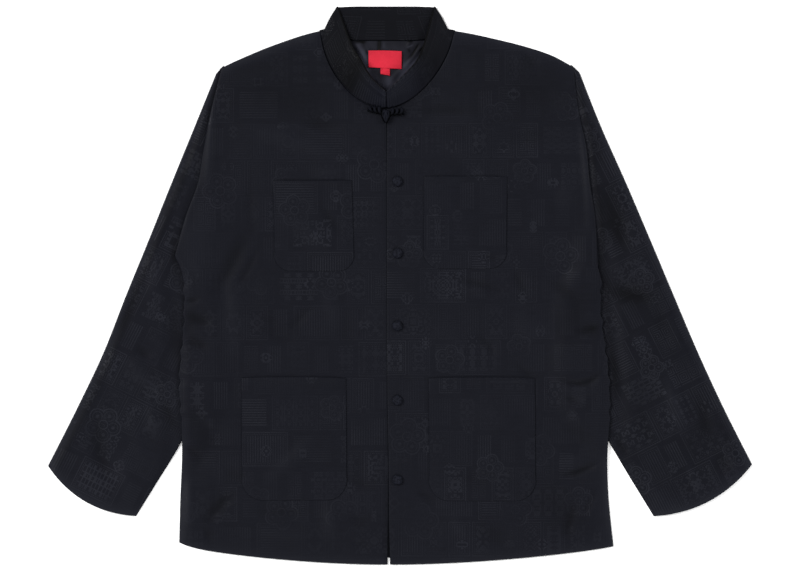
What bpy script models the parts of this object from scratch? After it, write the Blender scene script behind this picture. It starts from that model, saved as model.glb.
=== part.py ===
"""A tang jacket laid flat on its back, built from the pieces that are cut and sewn.

Metres, with +X to the wearer's left, +Y to the collar and +Z up from the surface that the
jacket lies on. The origin is the middle of the outline, on that surface. The back panel lies
on the surface and the fronts lie on the back. The sleeves are flattened tubes that run out
from the armholes and pass under the sides of the body. The collar's back half lies on the
surface and its front half folds over at the shoulders and stands up to the throat.
"""

import math
from collections import namedtuple

import bmesh
import bpy
from mathutils import Vector

SIDES = ("right", "left")  # the wearer's
OUTWARD = {"right": -1, "left": 1}  # the direction along X out from the front edges

# ------------------------------------------------------------------ cloth and layers
CLOTH = 0.0015         # face cloth with its lining
THIN_CLOTH = 0.0012    # underlap and pockets
LINING = 0.0010
LABEL = 0.0008
COLLAR_CLOTH = 0.0025  # two layers of cloth with a stiff interlining
SEAM_GAP = 0.0003      # between two pieces that meet or lie on each other
AIR = 0.0025           # between the back and the fronts, and inside a sleeve
EDGE_AIR = 0.0009      # between the back and the fronts where they come together at an edge
ROLL = 0.016           # width over which the upper cloth rolls down to a folded edge
ROLL_START = 0.125     # share of a front's length over which the roll begins below the armhole
FRONT_TOP_Z = CLOTH + AIR + CLOTH  # outer face of a front, where it lies flat
TUBE_RADIUS = CLOTH + SEAM_GAP / 2  # outer radius of the fold along a sleeve's edges

# ------------------------------------------------------------------ where a sleeve is tucked
TUCK_LIFT = 2 * TUBE_RADIUS + 0.0008  # height of the body's cloth over a tucked sleeve
TUCK_END_Y = -0.2240   # height at which the sleeves come out from under the sides
TUCK_MARGIN = 0.016   # the cloth stays lifted this far past the sleeve's edge
TUCK_RAMP = 0.032     # width over which it comes down to the surface
TUCK_FADE = 0.060     # length over which the lift dies away above and below
TUCK_CLEAR = 0.016    # the sleeve stays pressed flat this far out from under the body
TUCK_PUFF = 0.022     # width over which it then swells

# ------------------------------------------------------------------ outline of the body
# Each row is one place on the edge, on the wearer's right (-X) and on the left (+X).
EdgeRow = namedtuple("EdgeRow", "right_x right_y left_x left_y")

SHOULDER = (  # from the neck to the shoulder point
    EdgeRow(-0.1155, 0.3655, 0.0775, 0.3655),
    EdgeRow(-0.1480, 0.3570, 0.1250, 0.3570),
    EdgeRow(-0.1940, 0.3405, 0.1760, 0.3445),
    EdgeRow(-0.2350, 0.3230, 0.2170, 0.3310),
    EdgeRow(-0.2560, 0.3130, 0.2490, 0.3140),
)
ARMHOLE = (  # from the shoulder point to the armpit
    EdgeRow(-0.2560, 0.3130, 0.2490, 0.3140),
    EdgeRow(-0.2710, 0.2510, 0.2560, 0.2530),
    EdgeRow(-0.2830, 0.1900, 0.2670, 0.2000),
    EdgeRow(-0.2900, 0.1480, 0.2720, 0.1500),
    EdgeRow(-0.3070, 0.1010, 0.2800, 0.1000),
    EdgeRow(-0.3230, 0.0430, 0.2840, 0.0270),
)
SIDE = (  # from the armpit to the hem
    EdgeRow(-0.3230, 0.0430, 0.2840, 0.0270),
    EdgeRow(-0.3130, 0.0200, 0.2890, 0.0050),
    EdgeRow(-0.3100, -0.0180, 0.2880, -0.0280),
    EdgeRow(-0.3110, -0.0600, 0.2930, -0.0750),
    EdgeRow(-0.3140, -0.0950, 0.2980, -0.1100),
    EdgeRow(-0.3170, -0.1400, 0.3010, -0.1500),
    EdgeRow(-0.3140, -0.1920, 0.3010, -0.1900),
    EdgeRow(-0.3120, -0.2400, 0.2965, -0.2450),
    EdgeRow(-0.3140, -0.3000, 0.2975, -0.3050),
    EdgeRow(-0.3160, -0.3680, 0.3050, -0.3730),
)
HEM_Y = -0.3998        # lowest point of the hem, at the front edges
BACK_HEM_RISE = 0.010  # the back is this much shorter than the fronts, in the middle
HEM_RISE_SQUARE = 4    # the power that keeps this rise even until it nears the sides

# ------------------------------------------------------------------ neck and front edges
NECK_X = -0.0175       # the line where the fronts meet
NECK_DEPTH = 0.1115    # from the shoulder's neck corner down to the throat
NECK_FULLNESS = {"right": 1.80, "left": 1.62}  # 1 is a straight V and 2 an ellipse
NECK_SAMPLES = 24
BACK_NECK_DROP = 0.0120
BACK_NECK_SQUARE = 4   # the power that flattens the middle of the back neck
FRONT_GAP = 0.0006     # between the two front edges at the throat
HEM_SLIT = 0.0036      # and at the hem

# ------------------------------------------------------------------ sleeves
SLEEVE_OUTER = (  # the folded outer edge, from the shoulder to the cuff
    EdgeRow(-0.2640, 0.3040, 0.2575, 0.3060),
    EdgeRow(-0.2945, 0.2290, 0.2880, 0.2290),
    EdgeRow(-0.3280, 0.1470, 0.3245, 0.1470),
    EdgeRow(-0.3605, 0.0660, 0.3590, 0.0660),
    EdgeRow(-0.3940, -0.0160, 0.3935, -0.0160),
    EdgeRow(-0.4255, -0.0960, 0.4275, -0.0960),
    EdgeRow(-0.4645, -0.1780, 0.4655, -0.1780),
    EdgeRow(-0.5050, -0.2580, 0.5050, -0.2560),
)
SLEEVE_UNDER = (  # the under edge, from the armpit, beneath the body and out to the cuff
    EdgeRow(-0.3230, 0.0430, 0.2840, 0.0270),
    EdgeRow(-0.3000, -0.0100, 0.2640, -0.0150),
    EdgeRow(-0.2860, -0.0600, 0.2560, -0.0620),
    EdgeRow(-0.2830, -0.1130, 0.2530, -0.1130),
    EdgeRow(-0.2920, -0.1750, 0.2650, -0.1690),
    EdgeRow(-0.3170, -0.2300, 0.2960, -0.2180),
    EdgeRow(-0.3500, -0.2820, 0.3310, -0.2730),
    EdgeRow(-0.3800, -0.3270, 0.3660, -0.3270),
)
CUFF_BOW = 0.016       # how far the cuff's edge curves out past a straight line
CUFF_BOW_POWER = 6     # keeps this curve to the sleeve's end
ARMHOLE_GAP = 0.0009   # from the body to the sleeve, along the armhole seam

# ------------------------------------------------------------------ collar
# Each row is a place along a front half's top edge, from the shoulder fold to the throat,
# with how far the collar stands up over its seam there.
CollarRow = namedtuple("CollarRow", "right_x right_y right_rise left_x left_y left_rise")

COLLAR_FRONT = (
    CollarRow(-0.0895, 0.3965, 0.000, 0.0480, 0.3965, 0.000),
    CollarRow(-0.0680, 0.3450, 0.008, 0.0340, 0.3460, 0.014),
    CollarRow(-0.0550, 0.3230, 0.014, 0.0240, 0.3220, 0.024),
    CollarRow(-0.0420, 0.3020, 0.020, 0.0010, 0.2975, 0.028),
    CollarRow(-0.0180, 0.2795, 0.030, -0.0170, 0.2795, 0.030),
)
COLLAR_BACK_TOP_Y = 0.3998
COLLAR_BACK_REACH = 0.15  # share of the back's width over which its top edge rises to that
COLLAR_SEAM_IN = 0.0009   # from the neck seam to the collar's lower edge
COLLAR_FOLD_RADIUS = COLLAR_CLOTH + SEAM_GAP / 2
COLLAR_SEAM_Z = 2 * COLLAR_FOLD_RADIUS  # outer face of the front half, at its seam

# ------------------------------------------------------------------ pockets and closures
PocketRow = namedtuple("PocketRow", "name left right top bottom radius lean")

POCKETS = (
    PocketRow("pocket_chest_right", -0.1810, -0.0660, 0.1540, 0.0220, 0.022, 0.004),
    PocketRow("pocket_chest_left", 0.0360, 0.1510, 0.1560, 0.0240, 0.024, -0.003),
    PocketRow("pocket_hip_right", -0.2270, -0.0750, -0.1290, -0.3070, 0.029, 0.001),
    PocketRow("pocket_hip_left", 0.0410, 0.1950, -0.1310, -0.3090, 0.029, 0.001),
)
BUTTON_X = -0.0036
BUTTON_ROWS_Y = (0.150, 0.047, -0.057, -0.164, -0.278)
BUTTON_RADIUS = 0.0075
BUTTON_HEIGHT = 0.0052
UNDERLAP_HALF_WIDTH = 0.020
UNDERLAP_TOP_Y = 0.238
UNDERLAP_HEM_Y = -0.388
KNOT_CENTRE = (-0.0190, 0.2440)
KNOT_RADIUS = 0.0056
KNOT_LENGTHEN, KNOT_FLATTEN = 1.25, 0.8  # the ball's stretch along Y and along Z
FROG_CORD = 0.0018     # radius of the cord that the frog closure is bent from
FROG_WING = 0.0245     # length of each wing
FROG_WING_RISE = 0.005  # the wings lie this far above the knot's middle
FROG_WAVE = 0.0026     # how far the cord swings to each side along a wing
FROG_BENDS = 2         # full swings along a wing
FROG_FADE = 0.3        # share of the swing that is gone at the wing's end
LINING_TOP_Y, LINING_LOW_Y = 0.3515, 0.2660
LINING_HALF_TOP, LINING_HALF_LOW = 0.062, 0.014  # half widths of the lining that shows
LINING_CURVE = 1.6     # how its sides curve in towards the throat
LABEL_BOX = (-0.0450, 0.0030, 0.3120, 0.3385)     # left, right, bottom, top
SIZE_TAB_BOX = (-0.0280, -0.0130, 0.3022, 0.3115)

# ------------------------------------------------------------------ folds of the upper cloth
# Each row is a soft ridge, or a trough with a height below 0, along a line in plan.
FoldRow = namedtuple("FoldRow", "start_x start_y end_x end_y width height")

BODY_FOLDS = (
    FoldRow(-0.205, 0.060, -0.268, -0.010, 0.016, -0.0016),
    FoldRow(-0.245, 0.080, -0.285, 0.030, 0.018, 0.0018),
    FoldRow(-0.236, 0.000, -0.236, -0.105, 0.016, 0.0024),
    FoldRow(-0.275, -0.222, -0.245, -0.240, 0.014, -0.0012),
    FoldRow(-0.240, -0.318, -0.280, -0.352, 0.016, -0.0018),
    FoldRow(-0.190, -0.335, -0.235, -0.372, 0.018, 0.0018),
    FoldRow(-0.230, 0.250, -0.080, 0.190, 0.022, 0.0022),
    FoldRow(-0.250, 0.290, -0.120, 0.232, 0.020, -0.0012),
    FoldRow(0.100, 0.195, 0.235, 0.240, 0.022, 0.0020),
    FoldRow(0.060, -0.020, 0.165, -0.005, 0.014, 0.0018),
    FoldRow(0.120, -0.090, 0.190, -0.108, 0.014, 0.0018),
    FoldRow(0.225, -0.112, 0.285, -0.128, 0.014, 0.0026),
    FoldRow(0.222, -0.145, 0.285, -0.150, 0.014, -0.0014),
    FoldRow(0.225, -0.272, 0.290, -0.255, 0.014, -0.0016),
    FoldRow(0.238, -0.360, 0.280, -0.285, 0.018, 0.0022),
)
SLEEVE_FOLDS = (
    FoldRow(-0.405, -0.090, -0.340, -0.140, 0.018, 0.0020),
    FoldRow(-0.345, 0.020, -0.330, -0.050, 0.018, 0.0014),
    FoldRow(-0.450, -0.200, -0.405, -0.270, 0.020, 0.0012),
    FoldRow(0.310, 0.020, 0.365, 0.045, 0.018, 0.0016),
    FoldRow(0.310, -0.012, 0.360, -0.020, 0.016, -0.0014),
    FoldRow(0.375, -0.120, 0.425, -0.215, 0.020, 0.0020),
)
FOLD_TAPER = 0.30      # share of a fold's length over which each end dies away
FLAT_MARGIN = 0.026    # the cloth stays flat this far round a pocket and the front edge
FLAT_BLEND = 0.020

# ------------------------------------------------------------------ mesh density
ARMHOLE_STEPS = 10     # the same on the back, the fronts and the sleeves, whose seams match
NECK_STEPS = 8         # the same on the fronts and the collar
FRONT_COLUMNS, FRONT_ROWS = 16, 30
FRONT_CROWDING = 1.15  # above 1, a front's columns stand closer at its side
BACK_SHOULDER_COLUMNS, BACK_NECK_COLUMNS, BACK_ROWS = 8, 6, 24
SLEEVE_ROWS, SLEEVE_COLUMNS = 24, 7
FOLD_STEPS = 2         # in each quarter turn around the fold of an edge
COLLAR_ROWS = 3
UNDERLAP_ROWS = 10
LINING_COLUMNS, LINING_ROWS = 8, 7
LABEL_COLUMNS, LABEL_ROWS = 3, 2
POCKET_ROWS = 6
POCKET_CORNER_ANGLES = (0, 30, 60, 90)
BUTTON_TURN_STEPS, BUTTON_DOME_STEPS = 12, 5
WING_STEPS = 12
KNOT_SEGMENTS, KNOT_RINGS = 10, 6

# ------------------------------------------------------------------ finishes
MATERIALS = {          # colour, roughness
    "cloth": ((0.013, 0.014, 0.021, 1.0), 0.62),
    "trim": ((0.010, 0.011, 0.016, 1.0), 0.55),
    "lining": ((0.045, 0.046, 0.050, 1.0), 0.35),
    "label": ((0.700, 0.016, 0.035, 1.0), 0.60),
}


# ------------------------------------------------------------------ curves and surfaces
def smooth_step(t):
    """Rise from 0 to 1 without a corner as t goes from 0 to 1."""
    t = min(1.0, max(0.0, t))
    return t * t * (3.0 - 2.0 * t)


def smooth_path(points):
    """Return a function of t, 0 to 1, that runs evenly along a curve through the points."""
    knots = [Vector(point) for point in points]
    reach = [0.0]
    for before, after in zip(knots, knots[1:]):
        reach.append(reach[-1] + (after - before).length)
    last = len(knots) - 1

    def slope(i):
        low, high = max(i - 1, 0), min(i + 1, last)
        return (knots[high] - knots[low]) / (reach[high] - reach[low])

    def point_at(t):
        distance = min(1.0, max(0.0, t)) * reach[-1]
        i = max(k for k in range(last) if reach[k] <= distance)
        span = reach[i + 1] - reach[i]
        f = (distance - reach[i]) / span
        return (
            knots[i] * (1 + 2 * f) * (1 - f) ** 2
            + slope(i) * span * f * (1 - f) ** 2
            + knots[i + 1] * f * f * (3 - 2 * f)
            + slope(i + 1) * span * f * f * (f - 1)
        )

    return point_at


def joined_path(first, second, split):
    """Run along the first path until t reaches split, then along the second."""
    return lambda t: first(t / split) if t < split else second((t - split) / (1 - split))


def surface_between(top, bottom, start, end):
    """Return the surface point at (u, v) that blends four edge paths with shared corners."""

    def point_at(u, v):
        across = top(u).lerp(bottom(u), v)
        along = start(v).lerp(end(v), u)
        corners = top(0).lerp(top(1), u).lerp(bottom(0).lerp(bottom(1), u), v)
        return across + along - corners

    return point_at


def edge_points(rows, side):
    """Read one side's column of an edge table."""
    return [(getattr(row, side + "_x"), getattr(row, side + "_y")) for row in rows]


def distance_to_line(x, y, row):
    """Return the distance from a fold's line, and how far along it the point lies."""
    start = Vector((row.start_x, row.start_y))
    line = Vector((row.end_x, row.end_y)) - start
    along = (Vector((x, y)) - start).dot(line) / line.length_squared
    nearest = start + line * min(1.0, max(0.0, along))
    return (Vector((x, y)) - nearest).length, along


def fold_height(x, y, rows):
    """Add up the ridges and troughs at one place."""
    height = 0.0
    for row in rows:
        distance, along = distance_to_line(x, y, row)
        ends = smooth_step(along / FOLD_TAPER) * smooth_step((1 - along) / FOLD_TAPER)
        height += row.height * ends * math.exp(-((distance / row.width) ** 2))
    return height


def flatness(x, y):
    """Return 0 on and close to a pocket or the front edges, and 1 out on the open cloth."""
    free = abs(x - NECK_X)
    for pocket in POCKETS:
        beside = max(pocket.left - x, x - pocket.right, pocket.bottom - y, y - pocket.top)
        free = min(free, beside)
    return smooth_step((free - FLAT_MARGIN) / FLAT_BLEND)


# ------------------------------------------------------------------ the jacket's two sides
def neck_corner(side):
    """Return the point where the shoulder meets the neck."""
    return Vector(edge_points(SHOULDER, side)[0])


def neck_seam(side):
    """Return the path of the front neck seam, from the shoulder to the throat."""
    corner = neck_corner(side)
    power = 2 / NECK_FULLNESS[side]

    def point_at(t):
        angle = t * math.pi / 2
        across = math.cos(angle) ** power if t < 1 else 0.0
        down = math.sin(angle) ** power
        return Vector((NECK_X + (corner.x - NECK_X) * across, corner.y - NECK_DEPTH * down))

    return smooth_path([point_at(i / NECK_SAMPLES) for i in range(NECK_SAMPLES + 1)])


def front_edge(side):
    """Return the straight path of the front edge, from the throat to the hem."""
    out = OUTWARD[side]
    throat = Vector((NECK_X + out * FRONT_GAP / 2, neck_corner(side).y - NECK_DEPTH))
    hem = Vector((NECK_X + out * HEM_SLIT / 2, HEM_Y))
    return lambda t: throat.lerp(hem, t)


def hem_path(side, rise=0.0):
    """Return the bowed path of the hem, from the front edge to the side."""
    corner = Vector(edge_points(SIDE, side)[-1])
    start_x = NECK_X + OUTWARD[side] * HEM_SLIT / 2

    def point_at(t):
        x = start_x + (corner.x - start_x) * t
        y = HEM_Y + (corner.y - HEM_Y) * t * t
        return Vector((x, y + rise * (1 - t ** HEM_RISE_SQUARE)))

    return point_at


def edge_x_at(rows, side, y):
    """Return where an edge that runs down the jacket lies at one height."""
    points = edge_points(rows, side)
    for (x_high, y_high), (x_low, y_low) in zip(points, points[1:]):
        if y >= y_low:
            share = (y_high - y) / (y_high - y_low)
            return x_high + (x_low - x_high) * min(1.0, max(0.0, share))
    return points[-1][0]


def tuck_window(side, y):
    """Return 1 at the heights where the sleeve is under the body, dying away beyond them."""
    armpit_y = edge_points(SIDE, side)[0][1] + TUCK_MARGIN
    leave_y = TUCK_END_Y - TUCK_MARGIN
    above = smooth_step(1 - (y - armpit_y) / TUCK_FADE)
    below = smooth_step(1 - (leave_y - y) / TUCK_FADE)
    return above * below


def body_lift(x, y):
    """Return how far the tucked sleeves lift the back at one place."""
    side = "right" if x < NECK_X else "left"
    inward = (edge_x_at(SLEEVE_UNDER, side, y) - x) * OUTWARD[side] - TUCK_MARGIN
    return TUCK_LIFT * smooth_step(1 - inward / TUCK_RAMP) * tuck_window(side, y)


def front_underside(x, y, edge_distance):
    """Return the height of the underside of a front."""
    open_air = EDGE_AIR + (AIR - EDGE_AIR) * smooth_step(edge_distance / ROLL)
    folds = fold_height(x, y, BODY_FOLDS) * flatness(x, y)
    folds *= smooth_step(edge_distance / (2 * ROLL))
    return body_lift(x, y) + CLOTH + max(EDGE_AIR, open_air + folds)


# ------------------------------------------------------------------ making objects
def make_material(name):
    """Return the Principled material for one of the finishes."""
    colour, roughness = MATERIALS[name]
    material = bpy.data.materials.new(name)
    material.use_nodes = True
    material.diffuse_color = colour
    shader = material.node_tree.nodes["Principled BSDF"]
    shader.inputs["Base Color"].default_value = colour
    shader.inputs["Roughness"].default_value = roughness
    return material


def add_object(name, mesh, finish):
    """Put a mesh in the jacket's collection, as a piece of its own."""
    mesh.materials.append(finishes[finish])
    piece = bpy.data.objects.new(name, mesh)
    jacket.objects.link(piece)
    return piece


def thicken(piece, thickness, direction):
    """Give a surface its wall: direction is 1 along its normals and -1 against them."""
    wall = piece.modifiers.new("wall", "SOLIDIFY")
    wall.thickness = thickness
    wall.offset = direction
    wall.use_even_offset = False


def make_sheet(name, columns, rows, place, thickness, finish, direction=1, closed=False):
    """Make a cloth wall on the surface place(column, row), a tube if its columns close up."""
    mesh = bpy.data.meshes.new(name)
    grid = bmesh.new()
    bmesh.ops.create_grid(grid, x_segments=columns, y_segments=rows, size=0.5)
    for vert in grid.verts:
        column = round((vert.co.x + 0.5) * columns)
        row = round((0.5 - vert.co.y) * rows)
        vert.co = place(column, row)
    if closed:
        bmesh.ops.remove_doubles(grid, verts=grid.verts, dist=1e-6)
    bmesh.ops.triangulate(grid, faces=grid.faces)
    grid.to_mesh(mesh)
    grid.free()
    mesh.shade_smooth()
    piece = add_object(name, mesh, finish)
    thicken(piece, thickness, direction)
    return piece


# ------------------------------------------------------------------ body panels
def make_front(side):
    """Make one front: shoulder at the top, hem at the bottom, front edge to side seam."""
    neck_share, armhole_share = NECK_STEPS / FRONT_ROWS, ARMHOLE_STEPS / FRONT_ROWS
    inner = joined_path(neck_seam(side), front_edge(side), neck_share)
    armhole = smooth_path(edge_points(ARMHOLE, side))
    outer = joined_path(armhole, smooth_path(edge_points(SIDE, side)), armhole_share)
    shoulder = smooth_path(edge_points(SHOULDER, side))
    surface = surface_between(shoulder, hem_path(side), inner, outer)

    def place(column, row):
        column = column if side == "left" else FRONT_COLUMNS - column
        u = 1 - (1 - column / FRONT_COLUMNS) ** FRONT_CROWDING
        v = row / FRONT_ROWS
        x, y = surface(u, v)
        below_armhole = smooth_step((v - armhole_share) / ROLL_START)
        from_side = (outer(v) - Vector((x, y))).length
        from_side += (1 - below_armhole) * ROLL
        from_top = (shoulder(u) - Vector((x, y))).length
        from_hem = (hem_path(side)(u) - Vector((x, y))).length
        edge_distance = min(from_side, from_top, from_hem)
        return Vector((x, y, front_underside(x, y, edge_distance)))

    return make_sheet("front_" + side, FRONT_COLUMNS, FRONT_ROWS, place, CLOTH, "cloth")


def make_back():
    """Make the back, flat on the surface but for the strips that lie over the sleeves."""
    shoulders = {side: smooth_path(edge_points(SHOULDER, side)) for side in SIDES}
    edges = {}
    split = ARMHOLE_STEPS / BACK_ROWS
    for side in SIDES:
        armhole = smooth_path(edge_points(ARMHOLE, side))
        edges[side] = joined_path(armhole, smooth_path(edge_points(SIDE, side)), split)
    right_corner, left_corner = neck_corner("right"), neck_corner("left")
    columns = 2 * BACK_SHOULDER_COLUMNS + BACK_NECK_COLUMNS
    neck_start = BACK_SHOULDER_COLUMNS / columns
    neck_end = 1 - neck_start

    def top(u):
        if u < neck_start:
            return shoulders["right"](1 - u / neck_start)
        if u > neck_end:
            return shoulders["left"]((u - neck_end) / (1 - neck_end))
        share = (u - neck_start) / (neck_end - neck_start)
        drop = BACK_NECK_DROP * (1 - abs(2 * share - 1) ** BACK_NECK_SQUARE)
        return right_corner.lerp(left_corner, share) - Vector((0, drop))

    def bottom(u):
        side = "right" if u < 0.5 else "left"
        return hem_path(side, BACK_HEM_RISE)(abs(2 * u - 1))

    surface = surface_between(top, bottom, edges["right"], edges["left"])

    def place(column, row):
        x, y = surface(column / columns, row / BACK_ROWS)
        return Vector((x, y, body_lift(x, y)))

    return make_sheet("back", columns, BACK_ROWS, place, CLOTH, "cloth")


def make_underlap():
    """Make the strip behind the closure that the buttons are sewn through."""
    def place(column, row):
        x = NECK_X + (2 * column - 1) * UNDERLAP_HALF_WIDTH
        y = UNDERLAP_TOP_Y + (UNDERLAP_HEM_Y - UNDERLAP_TOP_Y) * row / UNDERLAP_ROWS
        return Vector((x, y, CLOTH + SEAM_GAP))

    return make_sheet("underlap", 1, UNDERLAP_ROWS, place, THIN_CLOTH, "cloth")


# ------------------------------------------------------------------ sleeves
def sleeve_upper_z(side, x, y, edge_distance):
    """Return the height of the outer face of a sleeve's upper cloth."""
    clear = (x - edge_x_at(ARMHOLE + SIDE[1:], side, y)) * OUTWARD[side]
    hidden = smooth_step(1 - (clear - TUCK_CLEAR) / TUCK_PUFF) * tuck_window(side, y)
    swell = smooth_step(edge_distance / ROLL) * (1 - hidden)
    rise = (AIR - SEAM_GAP) * swell + fold_height(x, y, SLEEVE_FOLDS) * swell
    return 2 * TUBE_RADIUS + max(0.0, rise)


def sleeve_section(width, closed):
    """Return one section of a sleeve as pairs: distance from its outer edge, and height.

    It runs from the inner edge along the lower cloth, round the fold of the outer edge and
    back along the upper cloth, where a height of None is filled in later. Below the armpit
    the section is closed: its ends meet halfway up the fold of the under edge. Above the
    armpit they lie on the armhole seam.
    """
    radius = TUBE_RADIUS
    turns = [math.pi / 2 * i / FOLD_STEPS for i in range(FOLD_STEPS + 1)]
    lower = [(radius * (1 - math.cos(turn)), radius * (1 - math.sin(turn))) for turn in turns]
    upper = [(distance, 2 * radius - z) for distance, z in lower[:-1]] + [(radius, None)]
    span = width - 2 * radius
    cross = [radius + span * i / SLEEVE_COLUMNS for i in range(1, SLEEVE_COLUMNS)]
    inner_lower = [(width - distance, z if closed else 0.0) for distance, z in lower]
    inner_upper = [(width - distance, z if closed else None) for distance, z in upper]
    section = inner_lower + [(distance, 0.0) for distance in reversed(cross)]
    section += lower[::-1] + upper[1:] + [(distance, None) for distance in cross]
    return section + inner_upper[::-1]


def make_sleeve(side):
    """Make one sleeve: a flattened tube from the armhole to the cuff."""
    out = OUTWARD[side]
    split = ARMHOLE_STEPS / SLEEVE_ROWS
    outer = smooth_path(edge_points(SLEEVE_OUTER, side))
    seam = smooth_path(edge_points(ARMHOLE, side))
    inner = joined_path(seam, smooth_path(edge_points(SLEEVE_UNDER, side)), split)
    chord = inner(1) - outer(1)
    past_cuff = Vector((chord.y, -chord.x)).normalized() * -out * CUFF_BOW
    last_column = len(sleeve_section(1.0, True)) - 1

    def place(column, row):
        column = column if side == "right" else last_column - column
        v = row / SLEEVE_ROWS
        closed = row >= ARMHOLE_STEPS
        start, end = outer(v), inner(v)
        if not closed:
            end.x += out * ARMHOLE_GAP
        width = (end - start).length
        distance, height = sleeve_section(width, closed)[column]
        t = distance / width
        x, y = start.lerp(end, t) + past_cuff * 4 * t * (1 - t) * v ** CUFF_BOW_POWER
        if height is None:
            from_inner = width - distance - TUBE_RADIUS if closed else ROLL
            from_cuff = (outer(1) - start).length + TUBE_RADIUS
            edge_distance = min(distance - TUBE_RADIUS, from_inner, from_cuff)
            height = sleeve_upper_z(side, x, y, edge_distance)
        return Vector((x, y, height))

    return make_sheet(
        "sleeve_" + side, last_column, SLEEVE_ROWS, place, CLOTH, "cloth", -1, closed=True
    )


# ------------------------------------------------------------------ collar and neck
def collar_front_sections(side):
    """Return one front half's sections, from the throat to the shoulder fold."""
    seam = neck_seam(side)
    names = (side + "_x", side + "_y", side + "_rise")
    top = smooth_path([[getattr(row, name) for name in names] for row in COLLAR_FRONT])
    sections = []
    for i in range(NECK_STEPS, -1, -1):
        lower = seam(i / NECK_STEPS).to_3d()
        upper = top(i / NECK_STEPS)
        inward = (upper.to_2d() - lower.to_2d()).normalized().to_3d()
        lower += inward * COLLAR_SEAM_IN
        lower.z = COLLAR_SEAM_Z
        upper.z += COLLAR_SEAM_Z
        sections.append((lower, upper))
    for point in sections[0]:
        point.x = NECK_X + OUTWARD[side] * FRONT_GAP / 2
    return sections


def collar_fold_sections(side):
    """Return the sections round the fold at one shoulder, from its front half to the back."""
    lower, upper = collar_front_sections(side)[-1]
    outward = Vector((upper.y - lower.y, lower.x - upper.x, 0)).normalized() * OUTWARD[side]
    sections = []
    for i in range(1, 2 * FOLD_STEPS):
        angle = math.pi * (0.5 - i / (2 * FOLD_STEPS))
        shift = outward * math.cos(angle) * COLLAR_FOLD_RADIUS
        shift.z = (math.sin(angle) - 1) * COLLAR_FOLD_RADIUS
        sections.append((lower + shift, upper + shift))
    return sections


def collar_sections():
    """Return the collar's sections in order, each a point at the seam and one at the top.

    They run from the throat on the wearer's right, round the back, to the throat on the left.
    The points lie on the face that is outside when the jacket is worn.
    """
    right, left = (collar_front_sections(side) + collar_fold_sections(side) for side in SIDES)
    first_lower, first_upper = collar_front_sections("right")[-1]
    last_lower, last_upper = collar_front_sections("left")[-1]
    back = []
    for i in range(BACK_NECK_COLUMNS + 1):
        t = i / BACK_NECK_COLUMNS
        drop = (BACK_NECK_DROP - 2 * SEAM_GAP) * (1 - abs(2 * t - 1) ** BACK_NECK_SQUARE)
        lower = first_lower.lerp(last_lower, t) - Vector((0, drop, 0))
        upper = first_upper.lerp(last_upper, t)
        upper.y += (COLLAR_BACK_TOP_Y - upper.y) * min(1.0, t * (1 - t) / COLLAR_BACK_REACH)
        lower.z = upper.z = 0.0
        back.append((lower, upper))
    return right + back + left[::-1]


def make_collar():
    """Make the band collar in one C-shaped wall, open at the throat."""
    sections = collar_sections()

    def place(column, row):
        lower, upper = sections[column]
        return lower.lerp(upper, 1 - row / COLLAR_ROWS)

    return make_sheet("collar", len(sections) - 1, COLLAR_ROWS, place, COLLAR_CLOTH, "cloth")


def make_neck_lining():
    """Make the lining that shows inside the neck, on the back panel."""
    def place(column, row):
        share = row / LINING_ROWS
        widening = (LINING_HALF_TOP - LINING_HALF_LOW) * (1 - share ** LINING_CURVE)
        x = NECK_X + (LINING_HALF_LOW + widening) * (2 * column / LINING_COLUMNS - 1)
        y = LINING_TOP_Y + (LINING_LOW_Y - LINING_TOP_Y) * share
        return Vector((x, y, CLOTH + SEAM_GAP))

    return make_sheet("neck_lining", LINING_COLUMNS, LINING_ROWS, place, LINING, "lining")


def make_label(name, box):
    """Make one bare woven label on the neck lining."""
    left, right, bottom, top = box
    base = CLOTH + LINING + 2 * SEAM_GAP

    def place(column, row):
        x = left + (right - left) * column / LABEL_COLUMNS
        return Vector((x, top + (bottom - top) * row / LABEL_ROWS, base))

    return make_sheet(name, LABEL_COLUMNS, LABEL_ROWS, place, LABEL, "label")


# ------------------------------------------------------------------ pockets
def pocket_columns(pocket):
    """Return the distances of a pocket's columns from its left edge, close at its corners."""
    width = pocket.right - pocket.left
    turns = [math.radians(angle) for angle in POCKET_CORNER_ANGLES]
    corner = [pocket.radius * (1 - math.cos(turn)) for turn in turns]
    return corner + [width / 2] + [width - distance for distance in reversed(corner)]


def make_pocket(pocket):
    """Make one patch pocket with round lower corners, on its front."""
    stations = pocket_columns(pocket)
    width = pocket.right - pocket.left

    def place(column, row):
        distance = stations[column]
        from_corner = max(0.0, pocket.radius - min(distance, width - distance))
        rounding = pocket.radius - math.sqrt(pocket.radius ** 2 - from_corner ** 2)
        low = pocket.bottom + rounding
        share = row / POCKET_ROWS
        x = pocket.left + distance + pocket.lean * (share - 0.5)
        y = pocket.top + (low - pocket.top) * share
        return Vector((x, y, FRONT_TOP_Z + SEAM_GAP))

    return make_sheet(pocket.name, len(stations) - 1, POCKET_ROWS, place, THIN_CLOTH, "cloth")


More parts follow.
